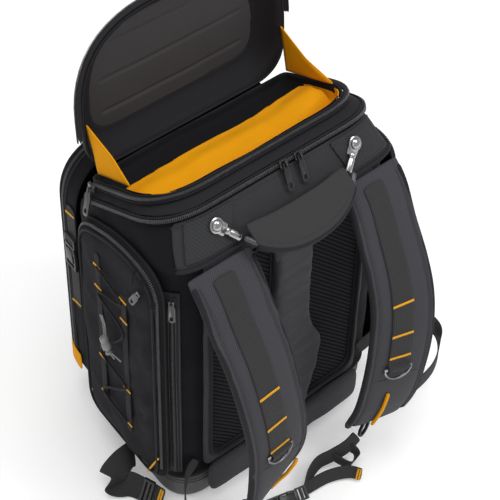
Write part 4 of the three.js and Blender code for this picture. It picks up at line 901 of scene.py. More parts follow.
def buildCollar():
    wall, foot, neck = tray["wall"], -18.7, -8.5
    rows = [(zipPlan, 1, foot), ("mid", 0.33, 0), ("mid", 0.66, 0), (rimPlan, 0, neck), (rimPlan, 0, -4),
            (rimPlan, 0.2, -0.5), (rimPlan, wall - 0.2, -0.5), (rimPlan, wall, neck - 1), (zipPlan, 1 + wall, foot)]
    low, high = topRing(zipPlan, 1, foot), topRing(rimPlan, 0, neck)
    rings = [[a.lerp(b, inset) for a, b in zip(low, high)] if plan == "mid" else topRing(plan, inset, z)
             for plan, inset, z in rows]
    bm = bmesh.new()
    loft(bm, rings, closed=True)
    splitLong(bm, 0.009)
    level = topFrame.inverted()
    crumple(bm, tray["collarFolds"], lambda co: topFrame.to_3x3() @ Vector((0, -0.5, 0.85)),
            lambda co: 1 - 0.6 * smoothstep(co.x, -0.06, 0.0), turn=level)
    finishPiece(bm, "trayCollar", skins["collarCloth"], node="tray_collar", levels=1)


# Half a zip outside a run of an outline: tape, teeth and a piped edge.
def zipBand(name, run, node, low, high, toFrame, cordAt):
    line = []
    for a, b in zip(run, run[1:]):
        cuts = max(int((b - a).length / 14), 1)
        line += [a.lerp(b, k / cuts) for k in range(cuts)]
    line.append(run[-1])
    ways = []
    for k in range(len(line)):
        way = (line[min(k + 1, len(line) - 1)] - line[max(k - 1, 0)]).normalized()
        ways.append(Vector((way.y, -way.x)))
    middle = (low + high) / 2

    def outside(out, z):
        return [toFrame(p.x + way.x * out, p.y + way.y * out, z) for p, way in zip(line, ways)]

    section = ((0.9, low), (5.4, low + 0.4), (6.3, middle), (5.4, high - 0.4), (0.9, high))
    tape, coil, cords = bmesh.new(), bmesh.new(), bmesh.new()
    loft(tape, list(zip(*(outside(out, z) for out, z in section))))
    finishPiece(tape, name + "Tape", skins["zipTape"], node=node, levels=1)
    teeth = straightRoute(outside(6.4, middle + cordAt * 1.6))
    inward = straightRoute(outside(0, middle))
    teethRow(coil, teeth, lambda share: onRoute(teeth, share) - onRoute(inward, share), 2.2, 1.3, 3.0, 1.5)
    finishPiece(coil, name + "Coil", skins["zipCoil"])
    tube(cords, outside(5.2, high if cordAt < 0 else low), 1.5, 8)
    finishPiece(cords, name + "Piping", skins["binding"], uv="swept", levels=1)


def buildRimZips():
    rim, edge = fourCorners(rimPlan), fourCorners(lidPlan)
    zipBand("rimZip", [rim[-1]] + rim[:27], "tray_rim_zip", -7, -1, onTop, 1)
    zipBand("lidZip", edge[26:] + [edge[0]], "lid_rim_zip", -6, 0, onLid, -1)


def buildLining():
    out, wall = 3.2, tray["wall"]

    def floorRing(inset, z):
        return [Vector((p.x, p.y, z * mm)) for p in (onTop(q.x, q.y, 0) for q in fourCorners(rimPlan, inset))]

    rings = [floorRing(out + wall + 11, tray["floor"]), floorRing(out + wall + 6, tray["floor"] + 2),
             [a.lerp(b, 0.5) for a, b in zip(floorRing(out + wall + 5, tray["floor"] + 4),
                                             topRing(rimPlan, out + wall, -9))],
             topRing(rimPlan, out + wall, -9), topRing(rimPlan, out + wall, -1), topRing(rimPlan, out, -1),
             floorRing(out + 6, tray["floor"] - 1), floorRing(out + 11, tray["floor"] - wall)]
    rings = spread(rings, (0.85, 0.6, 0.3))
    rings = spread(rings[::-1], (0.9, 0.8, 0.7, 0.6, 0.5, 0.4, 0.3, 0.2, 0.1))
    bm = bmesh.new()
    loft(bm, rings)
    splitLong(bm, 0.008)
    crest = tray["crest"]
    for y in (crest, crest + 3):
        cutAt(bm, at(0, y, 0), (0, 1, 0))
    for vert in bm.verts:
        co = vert.co
        if co.z > (tray["floor"] - 0.5) * mm and abs(co.x) < 0.139 and -0.052 < co.y < 0.07:
            height = tray["crown"] + tray["rise"] * smoothstep(co.x, 0.06, 0.13)
            ends = 1 - smoothstep(-co.x, 0.118, 0.139) ** 2
            hill = smoothstep(co.y, -0.052, -0.012) * (1 - 0.45 * smoothstep(co.y, 0.0, 0.027))
            drop = 1 - smoothstep(co.y, 0.027, 0.034)
            co.z = max(co.z, (tray["floor"] + height * hill * drop * ends) * mm)
    crumple(bm, [((70, 40, 60), 2.6, 4), ((26, 18, 26), 0.8, 9)], lambda co: Vector((0, 0, 1)),
            lambda co: 1 - smoothstep(abs(co.x), 0.12, 0.135))
    lining = finishPiece(bm, "trayLining", skins["yellowCloth"], node="tray_lining", levels=1)
    # The far floor, the end walls and the top of the near wall take the near-black second material: painted shade over
    # the yellow lining, dark too for the tools lying at the far side.
    lining.data.materials.append(skins["trayPaintedShade"])
    level = topFrame.inverted()
    for face in lining.data.polygons:
        place = level @ face.center
        wall = abs(place.x) > 0.1385 or not -0.126 < place.y < -0.012
        if face.center.y > (crest + 1) * mm or (wall and place.z > -0.0088):
            face.material_index = 1


buildMainZip()
buildCollar()
buildRimZips()
buildLining()
print("tray made")

# Lid: moulded shell with a soft skin, its grooved liner and a stud
lid = {"depth": 34, "wall": 3, "draft": 20, "margin": 32, "length": 190,
       "grooves": [(0.27, 0.9), (0.5, 0.9), (0.73, 0.74)], "grooveDepth": 1.7}


def buildLid():
    depth, wall, draft = lid["depth"], lid["wall"], lid["draft"]
    rows = [(wall + draft + 8, -depth + wall), (wall + draft, -depth + wall + 3), (wall + 12, -21), (wall + 4, -9),
            (wall, -0.8), (wall - 0.8, 0), (0.8, 0), (0, -0.8), (0.6, -5), (2, -10), (9, -22), (draft - 2, -depth + 4),
            (draft + 2, -depth + 1.2), (draft + 7, -depth)]
    rings = [lidRing(inset, z) for inset, z in rows]
    rings = spread(rings, (0.9, 0.7, 0.45, 0.2))
    rings = spread(rings[::-1], (0.6, 0.2))
    bm = bmesh.new()
    loft(bm, rings)
    splitLong(bm, 0.02)
    finishPiece(bm, "lidShell", skins["lidCloth"], node="lid_shell", levels=1)

    face = [Vector((p.x * mm, p.y * mm, 0)) for p in fourCorners(lidPlan, lid["margin"] - 3)]
    bm = bmesh.new()
    bmesh.ops.contextual_create(bm, geom=[bm.verts.new(p) for p in face])
    reach = (lidPlan["halfBack"] - lid["margin"]) * mm
    grooves = [((lidPlan["back"] + height * lid["length"]) * mm, half) for height, half in lid["grooves"]]
    cuts = [(y + shift * mm, 1) for y, half in grooves for shift in (-3.6, -2.2, -0.8, 0.8, 2.2, 3.6)]
    cuts += [(hand * (half * reach - shift * mm), 0)
             for y, half in grooves[1:] for hand in (-1, 1) for shift in (0, 3, 6)]
    cuts += [(k * 13.2 * mm + 0.0004, 0) for k in range(-8, 9)] + [((33 + k * 11.3) * mm, 1) for k in range(1, 12)]
    for place, axis in cuts:
        way = Vector((1 - axis, axis, 0))
        cutAt(bm, way * place, way)
    for vert in bm.verts:
        sink = 0.0
        for y, half in grooves:
            across = abs(vert.co.y - y) / mm
            end = (half * reach - abs(vert.co.x)) / mm
            if across < 3.7 and end > -0.01:
                sink = max(sink, (1 - smoothstep(across, 0.5, 3.6)) * smoothstep(end, 0, 6))
        vert.co.z = (-depth + wall + 0.3 + 2.4 - sink * lid["grooveDepth"]) * mm
        middle = 1 - min((vert.co.x / 0.13) ** 2 + ((vert.co.y - 0.095) / 0.085) ** 2, 1)
        vert.co.z += middle * 2.2 * mm + noise.noise(vert.co * 26) * 0.7 * mm
    bmesh.ops.transform(bm, matrix=lidFrame, verts=bm.verts)
    finishPiece(bm, "lidLiner", skins["linerCloth"], node="lid_liner", flip=False)
    # The liner's walls get a skin of the dark lid cloth in place of the grey liner cloth that really runs up them:
    # painted shade on the lid's inner walls.
    linerWallShade = bmesh.new()
    loft(linerWallShade, [lidRing(inset, z) for inset, z in
                    ((lid["margin"] - 2, -28.6), (wall + draft + 2.4, -28.2), (wall + draft - 2.6, -26.2),
                     (wall + 10.8, -20), (wall + 5.4, -10.5), (wall + 1.2, -1.6))], capStart=False, capEnd=False)
    splitLong(linerWallShade, 0.02)
    skin = finishPiece(linerWallShade, "lidLinerWallShade", skins["lidCloth"])
    thickness = skin.modifiers.new("wall", "SOLIDIFY")
    thickness.thickness = 0.0006
    thickness.offset = -1
    stud = bmesh.new()
    bmesh.ops.create_uvsphere(stud, u_segments=12, v_segments=8, radius=1.7 * mm,
                              matrix=Matrix.Translation(onLid(131, 108, -17)))
    finishPiece(stud, "lidStud", skins["greyMetal"])


buildLid()
print("lid made")

# Gussets between the lid and the tray
gussets = {"left": {"hand": -1, "lidReach": 71, "trayReach": 74, "tuck": 3},
           "right": {"hand": 1, "lidReach": 66, "trayReach": 97, "tuck": 5}}


def buildGusset(name, look):
    hand, tuck = look["hand"], look["tuck"]
    x = hand * (149 - 2.4 - 0.8 - 2.4 - 1.2)
    corner = onTop(x, -12, 4)
    lidPoint = onLid(x + hand * 1.5, look["lidReach"], -3)
    trayPoint = onTop(x, -look["trayReach"], 1.5)
    fold = lidPoint.lerp(trayPoint, 0.55) - Vector((hand * tuck * mm, 0, 0))
    bm = bmesh.new()
    verts = [bm.verts.new(p) for p in (corner, lidPoint, fold, trayPoint)]
    bm.faces.new((verts[0], verts[1], verts[2]))
    bm.faces.new((verts[0], verts[2], verts[3]))
    area = sum(f.calc_area() for f in bm.faces)
    bmesh.ops.subdivide_edges(bm, edges=bm.edges[:], cuts=7, use_grid_fill=True)
    crumple(bm, [((30, 30, 30), 1.6, 6)], lambda co: Vector((1, 0, 0)),
            lambda co: min(1, (co - corner).length / 0.03))
    cloth = finishPiece(bm, "gusset" + name.capitalize(), skins["yellowCloth"], node="gusset_" + name)
    solid = cloth.modifiers.new("thick", "SOLIDIFY")
    solid.thickness = 1.2 * mm
    solid.offset = 0
    hem = bmesh.new()
    tube(hem, [lidPoint.lerp(fold, k / 6) for k in range(6)] + [fold.lerp(trayPoint, k / 6) for k in range(7)],
         1.3, 8, flat=0.8, ups=[Vector((1, 0, 0))] * 13)
    edge = finishPiece(hem, "gussetHem" + name.capitalize(), skins["yellowCloth"], uv="swept",
                       levels=1)


for gussetName, gussetLook in gussets.items():
    buildGusset(gussetName, gussetLook)

# Front pocket
frontPocket = {"rows": [(40, 147), (14, 138), (5, 121), (2, 95.8), (0, 95.8), (1, 105), (3, 121), (6, 131), (12, 140),
                        (22, 146.4), (38, 149)],
               "folds": [((90, 70, 30), 2.4, 1), ((30, 30, 14), 1.0, 8)]}


def pocketRing(inset, y):
    outline = roundedOutline([(-152 + inset, 58.8 + inset, 26), (152 - inset, 58.8 + inset, 26),
                              (152 - inset, 427 - inset, 75 - inset), (-152 + inset, 427 - inset, 75 - inset)])
    return [at(p.x, y, p.y) for p in outline]


def buildFrontPocket():
    rings = [pocketRing(inset, y) for inset, y in frontPocket["rows"]]
    rings = spread(rings, (0.85, 0.7, 0.5, 0.3, 0.12))
    rings = spread(rings[::-1], (0.85, 0.6, 0.3))
    bm = bmesh.new()
    loft(bm, rings)
    splitLong(bm, 0.018)

    def outward(co):
        return Vector((co.x * 1.1, max(co.y - 0.07, 0.001), (co.z - 0.25) * 0.5)).normalized()

    crumple(bm, frontPocket["folds"], outward, lambda co: smoothstep(co.y, 0.1, 0.115))
    finishPiece(bm, "frontPocket", skins["blackCloth"], node="front_pocket", levels=1)
    cords = bmesh.new()
    for inset, y, radius in ((2.6, 118, 1.9), (9.5, 137, 2.1), (24, 146.6, 1.6), (31, 148.0, 1.2)):
        tube(cords, pocketRing(inset, y), radius, 8, closed=True)
    finishPiece(cords, "frontPocketPiping", skins["binding"], uv="swept")
    coil = bmesh.new()
    arch = straightRoute(pocketRing(4.4, 127)[24:] + pocketRing(4.4, 127)[:2])
    middle = at(0, 100, 200)
    teethRow(coil, arch, lambda share: onRoute(arch, share) - middle, 2.4, 1.4, 3.8, 1.5)
    finishPiece(coil, "frontPocketCoil", skins["zipCoil"])


buildFrontPocket()

# A flat outline on the right, or its mirror image on the left
def mirrored(outline, hand):
    return [(hand * x, y) for x, y in outline][::hand]


# A fastened side-release buckle in its own frame: x across, y along, z out. Sizes are shares of its box.
def releaseBuckle(name, node, matrix, wide, long, thick):
    half, end, deep = wide / 2, long / 2, thick / 2
    bm = bmesh.new()

    def part(outline, low, high, hand=1):
        plate(bm, mirrored([(x * half, y * end) for x, y in outline], hand), low * deep, high * deep, matrix)

    part([(-1, -1), (1, -1), (1, -0.62), (-1, -0.62)], -0.7, -0.1)
    for hand in (-1, 1):
        part([(1, -1), (1, 0.16), (0.72, 0.16), (0.72, -1)], -1, 0.55, hand)
        part([(0.98, -0.02), (0.94, 0.3), (0.7, 0.36), (0.55, -0.02)], -0.5, 0.7, hand)
        part([(0.74, 0.46), (0.74, 1), (1, 1), (1, 0.46)], -0.7, 0.5, hand)
    part([(-0.72, -0.5), (0.72, -0.5), (0.6, 0.2), (0, 0.3), (-0.6, 0.2)], -0.9, 1)
    part([(-0.8, 0.3), (0.8, 0.3), (0.9, 0.5), (-0.9, 0.5)], -0.7, 0.6)
    bevelSharp(bm, 0.55, 2, 40)
    for y, radius in ((-0.9, 0.4), (-0.56, 0.3), (0.7, 0.34), (0.93, 0.4)):
        rod(bm, (-half * 0.9, end * y, 0), (half * 0.9, end * y, 0), deep * radius * 1.6, matrix)
    return finishPiece(bm, name, skins["blackPlastic"], node=node, sharp=40)


# A ladder lock: two rails and three bars that the webbing runs over
def ladderLock(name, node, matrix, wide, long, thick):
    half, end, deep = wide / 2, long / 2, thick / 2
    bm = bmesh.new()
    for hand in (-1, 1):
        plate(bm, mirrored([(half, -end), (half, end), (half - 3.4, end), (half - 3.4, -end)], hand), -deep, deep,
              matrix)
    bevelSharp(bm, 0.7, 2, 40)
    for y, radius in ((-0.74, 0.85), (0.05, 0.95), (0.74, 0.8)):
        rod(bm, (1.5 - half, end * y, 0), (half - 1.5, end * y, 0), deep * radius, matrix, 12)
    return finishPiece(bm, name, skins["blackPlastic"], node=node, sharp=40)


frontTrim = {"corner": [(-153.2, 105.8), (-150.2, 123), (-141, 141.5), (-112, 151.2)], "z": 84, "wide": 30,
             "strapX": -152, "strapY": 105.8, "strapTop": 365, "strapBottom": 190, "strapWide": 20}


def buildFrontTrim():
    route = smoothRoute([at(x, y, frontTrim["z"]) for x, y in frontTrim["corner"]])
    patch = ribbon("frontAccent", skins["yellowCloth"], routeStations(route, 14, Vector((0, 0, 1))),
                   frontTrim["wide"], 1.8, node="front_accent")
    run = [at(frontTrim["strapX"], frontTrim["strapY"], mix(frontTrim["strapTop"], frontTrim["strapBottom"], s))
           for s in (0, 0.3, 0.7, 1)]
    route = smoothRoute(run)
    strap = ribbon("frontStrap", skins["webbing"], routeStations(route, 12, Vector((0.12, 1, 0))),
                   frontTrim["strapWide"], 1.8, node="front_strap")
    middle = at(-156.3, frontTrim["strapY"], 291.5)
    releaseBuckle("frontBuckle", "front_buckle", hungFrame(middle, Vector((0, 0, -1)), Vector((-0.993, 0.12, 0))), 24,
                  52, 6)
    tacks = bmesh.new()
    for z in (352, 200):
        tackRow(tacks, at(frontTrim["strapX"] - 1, frontTrim["strapY"], z), Vector((0, 1, 0)), Vector((0, 0, 1)),
                Vector((-1, 0, 0)), 18)
    finishPiece(tacks, "frontTacks", skins["yellowThread"])


buildFrontTrim()
print("front made")

# Side pockets
sidePocket = {"rows": [(26, 14), (9, 11), (2, 4.8), (2, 0.8), (0, 0.8), (0.4, 3), (1, 5.8), (3.4, 10), (7, 13),
                       (14, 15.3), (24, 16)],
              "folds": [((60, 46, 60), 2.6, 12), ((22, 20, 16), 1.0, 21)],
              "slants": [((90, 19, 95), 4.2, 4), ((60, 9, 60), 1.3, 15)], "slope": 47}


def onSide(hand, y, z, out):
    wall = 172 - 0.10101 * (y + 103)
    return at(hand * (wall + 1.5 + out), y, z)


def sidePocketRing(hand, inset, out):
    outline = roundedOutline([(-98 + inset, 54 + inset, 30), (74 - inset, 54 + inset, 30), (74 - inset, 386 - inset, 34),
                              (-20.6, 420 - inset, 40), (-98 + inset, 412 - inset, 34)], 8)
    return [onSide(hand, p.x, p.y, out) for p in outline]


# How far a point stands out from the bag's side, in metres
def offWall(co):
    return abs(co.x) - (0.172 - 0.101 * (co.y + 0.103))


def buildSidePocket(name, hand):
    rings = [sidePocketRing(hand, inset, out) for inset, out in sidePocket["rows"]]
    rings = spread(rings, (0.85, 0.7, 0.5, 0.3, 0.12))
    rings = spread(rings[::-1], (0.7, 0.35))
    bm = bmesh.new()
    loft(bm, rings)
    splitLong(bm, 0.01)
    crumple(bm, sidePocket["folds"], lambda co: Vector((hand, 0, 0)),
            lambda co: smoothstep(offWall(co), 0.003, 0.011))
    crumple(bm, sidePocket["slants"], lambda co: Vector((hand, 0, 0)),
            lambda co: smoothstep(offWall(co), 0.006, 0.014) * (0.35 + 0.65 * smoothstep(-co.y, -0.03, 0.05)),
            turn=Matrix.Rotation(math.radians(-sidePocket["slope"]), 3, "X"))
    title = name.capitalize()
    finishPiece(bm, "sidePocket" + title, skins["blackCloth"], node="side_pocket_" + name,
                levels=1)
    cords = bmesh.new()
    for inset, out, radius in ((1.4, 3.0, 1.5), (8.6, 14.0, 1.7)):
        tube(cords, sidePocketRing(hand, inset, out), radius, 8, closed=True)
    finishPiece(cords, "sidePocketPiping" + title, skins["binding"], uv="swept")
    coil = bmesh.new()
    edge = sidePocketRing(hand, 3.6, 10.6)
    arch = straightRoute(edge[18:] + edge[:1])
    middle = onSide(hand, -12, 230, 0) - Vector((hand * 0.15, 0, 0))
    teethRow(coil, arch, lambda share: onRoute(arch, share) - middle, 2.4, 1.4, 3.6, 1.5)
    finishPiece(coil, "sidePocketCoil" + title, skins["zipCoil"])


buildSidePocket("left", -1)
buildSidePocket("right", 1)
print("side pockets made")

# Padded back
backPad = {"panelFolds": [((30, 30, 22), 0.9, 3), ((60, 60, 60), 1.0, 6)]}
towardWearer = Vector((0, -1, 0))


def backAt(x, z, out):
    return at(x, -103.3 - out, z)


def windowLine(hand, inset, out):
    outline = roundedOutline([(hand * (26 + inset), 72 + inset, 14), (hand * (118 - inset), 72 + inset, 26),
                              (hand * (118 - inset), 396 - inset, 26), (hand * (26 + inset), 396 - inset, 14)], 8)
    return [backAt(p.x, p.y, out) for p in outline]


# Blows the padding up a little inside its cover, and holds each point near its start.
def puff(piece, pressure, cap, frames=20):
    start = [v.co.copy() for v in piece.data.vertices]
    scene = bpy.context.scene
    cloth = piece.modifiers.new("fill", "CLOTH")
    cloth.settings.quality = 4
    cloth.settings.mass = 0.3
    cloth.settings.tension_stiffness = 18
    cloth.settings.compression_stiffness = 18
    cloth.settings.bending_stiffness = 0.6
    cloth.settings.use_pressure = True
    cloth.settings.uniform_pressure_force = pressure
    cloth.settings.effector_weights.gravity = 0
    for step in range(1, frames + 1):
        scene.frame_set(step)
    shaped = piece.evaluated_get(bpy.context.evaluated_depsgraph_get())
    ends = [v.co.copy() for v in shaped.data.vertices]
    piece.modifiers.remove(cloth)
    scene.frame_set(1)
    for vert, a, b in zip(piece.data.vertices, start, ends):
        move = b - a
        if move.length > cap * mm:
            move = move.normalized() * cap * mm
        vert.co = a + move


def paddedCopy(node, name, voxel, folds, outward, pressure=0.0, cap=2.0, skin="padCloth",
               smooth=4, mask=None):
    bm = remeshed(node, voxel)
    for _ in range(smooth):
        bmesh.ops.smooth_vert(bm, verts=bm.verts, factor=0.5, use_axis_x=True, use_axis_y=True, use_axis_z=True)
    crumple(bm, folds, outward, mask)
    piece = finishPiece(bm, name, skins[skin], node=node, flip=False)
    if pressure:
        puff(piece, pressure, cap)
    smoother = piece.modifiers.new("smooth", "SUBSURF")
    smoother.levels = smoother.render_levels = 1
    return piece


def buildBack():
    paddedCopy("back_panel", "backPanel", 3.0, backPad["panelFolds"], lambda co: towardWearer)
    for name, hand in (("left", -1), ("right", 1)):
        bm = bmesh.new()
        rings = spread([windowLine(hand, 0.4, 0.2), windowLine(hand, 0.4, 3.2)], (0.97, 0.85, 0.7, 0.5, 0.3, 0.12))
        loft(bm, rings)
        splitLong(bm, 0.02)
        crumple(bm, [((50, 50, 80), 1.2, 5)], lambda co: towardWearer,
                lambda co: smoothstep(-co.y, 0.1055, 0.1064))
        mesh = finishPiece(bm, "meshPanel" + name.capitalize(), skins["meshCloth"], node="mesh_panel_" + name)
        edge = bmesh.new()
        tube(edge, windowLine(hand, -1.6, 8.2), 2.6, 8, closed=True)
        tube(edge, windowLine(hand, 1.2, 4.6), 1.8, 8, closed=True)
        finishPiece(edge, "windowBinding" + name.capitalize(), skins["binding"], uv="swept")
    paddedCopy("spine_pad", "spinePad", 4.0, [((26, 26, 16), 0.7, 2), ((70, 60, 11), 1.1, 9)],
               lambda co: towardWearer, pressure=2.0, cap=3.0)
    paddedCopy("lumbar_pad", "lumbarPad", 4.0, [((30, 30, 16), 0.7, 4)], lambda co: towardWearer, pressure=2.0,
               cap=3.0)


buildBack()
print("back made")

# Shoulder straps
strap = {"route": [(113, -115.3, 417), (113, -134, 396), (112, -157, 355), (111, -182, 316), (110, -200, 274),
                   (105, -210, 220), (98, -212, 165), (96, -205, 108), (98, -188, 58)],
         "wide": 90, "thick": 13, "thickTop": 8, "spans": 48, "webbing": 30, "shift": 5,
         "start": 0.03, "end": 0.675, "hump": 4.8, "straightSpans": 16,
         "kinds": {"left": {"hand": -1, "twist": 0.04, "curl": 0.35, "sway": 0, "swing": -20, "rail": 0.34,
                            "tacks": (0.42, 0.54, 0.64)},
                   "right": {"hand": 1, "twist": 0.24, "curl": 0, "sway": -8, "swing": 0, "rail": 0.1,
                             "tacks": (0.42, 0.53, 0.615)}}}
# Half a pad's section from its edge to its middle: (across, rise) as shares of width and thickness
padHalf = [(0.5, 0.0), (0.494, 0.2), (0.474, 0.34), (0.448, 0.36), (0.424, 0.3), (0.408, 0.2), (0.392, 0.24),
           (0.36, 0.38), (0.31, 0.46), (0.22, 0.497), (0.11, 0.5)]


def strapRoute(kind):
    points = []
    for k, (x, y, z) in enumerate(strap["route"]):
        drift = kind["sway"] * smoothstep(k, 1, 5) + kind["swing"] * smoothstep(k, 5, 8.5)
        points.append(at(kind["hand"] * x + drift, y, z))
    return smoothRoute(points)


def strapFrame(route, kind, share):
    turn = kind["twist"] * smoothstep(share, 0.15, 0.6) + kind["curl"] * smoothstep(share, 0.6875, 1)
    along = heading(route, share)
    side = squared(Vector((math.cos(turn), -kind["hand"] * math.sin(turn), 0)), along)
    return onRoute(route, share), side, along.cross(side).normalized(), along


def padThick(share):
    return mix(strap["thickTop"], strap["thick"], smoothstep(share, 0, 0.12))


# The pad's middle, its frame and its thickness, on the CAD's own straight spans
def padFrame(route, kind, share):
    spans = strap["straightSpans"]
    low = min(int(share * spans), spans - 1)
    part = share * spans - low
    a, b = strapFrame(route, kind, low / spans), strapFrame(route, kind, (low + 1) / spans)
    thick = mix(padThick(low / spans), padThick((low + 1) / spans), part)
    return (a[0].lerp(b[0], part), a[1].lerp(b[1], part).normalized(), a[2].lerp(b[2], part).normalized(),
            (b[0] - a[0]).normalized(), thick)


# A point above the pad's crown, with the frame there
def onPad(route, kind, share, across, rise):
    place, side, up, along, thick = padFrame(route, kind, share)
    return place + up * (thick / 2 + rise) * mm + side * across * mm, side, up, along


def buildStrap(name):
    kind = strap["kinds"][name]
    hand, title = kind["hand"], name.capitalize()
    route = strapRoute(kind)
    inward = Vector((strap["shift"] * mm, 0, 0))
    section = padHalf + [(0, 0.5)] + [(-a, b) for a, b in reversed(padHalf)]
    section += [(-a, -b) for a, b in padHalf[1:]] + [(0, -0.5)] + [(a, -b) for a, b in reversed(padHalf[1:])]
    sizes = [(0, 0.97, 0.5), (0.004, 1.0, 0.85)] + [(k / strap["spans"], 1.0, 1.0) for k in range(1, strap["spans"])]
    sizes += [(0.985, 1.0, 0.94), (0.995, 0.985, 0.7), (1.0, 0.955, 0.35)]
    rings = []
    for share, wide, thick in sizes:
        place, side, up = padFrame(route, kind, share)[:3]
        rings.append([place + side * x * strap["wide"] * wide * mm + up * y * padThick(share) * thick * mm
                      for x, y in section])
    bm = bmesh.new()
    loft(bm, rings, along=[size[0] * route["length"] for size in sizes],
         across=[x * strap["wide"] * mm for x, y in section])
    crumple(bm, [((24, 24, 18), 0.35, 3)], lambda co: Vector((0, 0.7, -0.3)))
    pad = finishPiece(bm, "strapPad" + title, skins["padCloth"], node="strap_pad_" + name, levels=1,
                      uv="swept")

    # The bound edge runs down both sides and across the end
    edgeLine, edgeUps = [], []
    for side in (1, -1):
        steps = range(1, 47) if side > 0 else range(46, 0, -1)
        for k in steps:
            place, across, up, _ = strapFrame(route, kind, k / 47)
            edgeLine.append(place + across * side * 41.6 * mm)
            edgeUps.append(up)
    binding = bmesh.new()
    tube(binding, edgeLine, 3.8, 10, ups=edgeUps, flat=1.28)
    finishPiece(binding, "strapBinding" + title, skins["binding"], levels=1, uv="swept")
    thread = bmesh.new()
    for side in (1, -1):
        line = [onPad(route, kind, k / 60, side * 35.6, -1.6)[0] for k in range(2, 59)]
        threadRow(thread, straightRoute(line), 3.6, 2.3, 0.36)
    line = [onPad(route, kind, 0.712, a, 0.1)[0] for a in range(-34, 35, 4)]
    threadRow(thread, straightRoute(line), 3.2, 2.2, 0.34)
    finishPiece(thread, "strapStitches" + title, skins["blackThread"])

    # Webbing down the pad, over the ring's bar
    shares = [strap["start"] + k / 64 for k in range(40)]
    stations = [(share, 0) for share in shares if share < strap["end"] - 0.034]
    stations += [(strap["end"] + s, r) for s, r in ((-0.032, 0), (-0.0275, 0.55), (-0.0235, 1), (-0.016, 1.04),
                                                   (-0.0085, 1), (-0.0045, 0.55), (0, 0))]
    run = []
    for share, rise in stations:
        place, side, up, _ = onPad(route, kind, share, 0, 1.2 + rise * strap["hump"])
        run.append((place - inward, side, up))
    band = ribbon("strapWebbing" + title, skins["webbing"], run, strap["webbing"], 1.8, node="strap_webbing_" + name)
    tacks = bmesh.new()
    for share in kind["tacks"]:
        place, side, up, along = onPad(route, kind, share, 0, 2.2)
        tackRow(tacks, place - inward, side, along, up, 30, length=3.0)
    finishPiece(tacks, "strapTacks" + title, skins["yellowThread"])
    roundedCopy("d_ring_" + name, "dRing" + title, skins["ringMetal"], 0.5, 2, body="d_ring_" + name,
                least=50)
    rail = bmesh.new()
    tube(rail, [onPad(route, kind, mix(0.78, 0.995, k / 16), -hand * kind["rail"] * strap["wide"], 2.9)[0]
                for k in range(17)], 2.5, 10)
    finishPiece(rail, "strapRail" + title, skins["yellowCloth"], node="strap_rail_" + name,
                levels=1, uv="swept")


buildStrap("left")
buildStrap("right")

lowerWebbing = {"left": [(-138, -106, 80), (-158, -112, 66), (-176, -136, 38), (-168, -166, 24), (-144, -180, 34),
                         (-118, -181, 58)],
                "right": [(138, -105, 80), (176, -114, 104), (218, -134, 112), (236, -156, 84), (212, -178, 62),
                          (164, -186, 56), (112, -185.4, 60)]}


def buildLowerWebbing(name):
    route = smoothRoute([at(*p) for p in lowerWebbing[name]])
    band = ribbon("lowerWebbing" + name.capitalize(), skins["webbing"], routeStations(route, 40, Vector((0, 0, 1))),
                  25, 1.8, node="lower_webbing_" + name)


buildLowerWebbing("left")
buildLowerWebbing("right")
print("straps made")

# Carrying handle
handle = {"cable": [(-82, -122, 441), (-66, -135, 430), (-38, -147, 420), (0, -151, 416), (38, -147, 420),
                    (66, -135, 430), (82, -122, 441)], "radius": 3.6, "half": 74, "stations": 41,
          "down": (0, -0.79, -0.61), "up": (0, -0.61, 0.79),
          "ferrule": [(0, 3.0, 2.0), (0.01, 3.9, 2.9), (0.06, 4.6, 3.4), (0.18, 4.8, 3.5), (0.22, 4.2, 3.1),
                      (0.3, 4.2, 3.1), (0.34, 4.8, 3.5), (0.86, 4.8, 3.5), (0.9, 5.0, 3.5), (0.97, 5.0, 3.5),
                      (0.995, 4.4, 3.2), (1.0, 3.8, 2.9)],
          "rivet": [(0, 5.5), (2.6, 5.3), (4.6, 4.7), (6.0, 3.7), (6.6, 2.4), (6.8, 1.3), (8.2, 1.1), (9.0, 0.7),
                    (9.0, 0.1), (3.0, 0.0), (3.0, -1.7), (0, -1.7)],
          "patches": {"left": [12.14, 12, 11, 10, 9, 8], "right": [12.86, 13, 14, 15, 16, 17]}}
cableRoute = smoothRoute([at(*p) for p in handle["cable"]])


def cableAt(x):
    low, high = 0.0, 1.0
    for _ in range(24):
        half = (low + high) / 2
        if onRoute(cableRoute, half).x < x * mm:
            low = half
        else:
            high = half
    return onRoute(cableRoute, low)


# A riveted tab and the crimped ferrule that the cable runs into
def buildHandleEnd(name, hand):
    place = 12.5 + hand * 0.48
    seat = onYoke(place, 0.36, 6.3)
    out = (onYoke(place, 0.36, 23.7) - onYoke(place, 0.36, 3.7)).normalized()
    end = at(hand * 82, -122, 441)
    tab = hungFrame(seat, end - seat, out)
    knuckle = tab @ at(0, -11.5, 3.7)
    reach = end - knuckle
    ferrule = hungFrame(knuckle, reach, out)
    bm = bmesh.new()
    shape = roundedOutline([(-7.5, 7.5, 6.5), (-7.5, -14.5, 3), (7.5, -14.5, 3), (7.5, 7.5, 6.5)], 5)
    plate(bm, shape, 0.2, 1.6, tab)
    bevelSharp(bm, 0.35, 2, 50)
    length = reach.length / mm - 1.2
    rings = []
    for share, wide, deep in handle["ferrule"]:
        rings.append([ferrule @ at(math.cos(a) * wide, -share * length, math.sin(a) * deep)
                      for a in (k * math.pi / 8 for k in range(16))])
    one = bmesh.new()
    loft(one, rings)
    addTo(bm, one)
    finishPiece(bm, "handleEnd" + name.capitalize(), skins["chrome"], node="handle_end_" + name,
                sharp=35)
    head = bmesh.new()
    turned(head, handle["rivet"], tab @ Matrix.Translation(at(0, 0, 1.9)), 28)
    finishPiece(head, "rivet" + name.capitalize(), skins["chrome"], node="rivet_" + name, sharp=40)


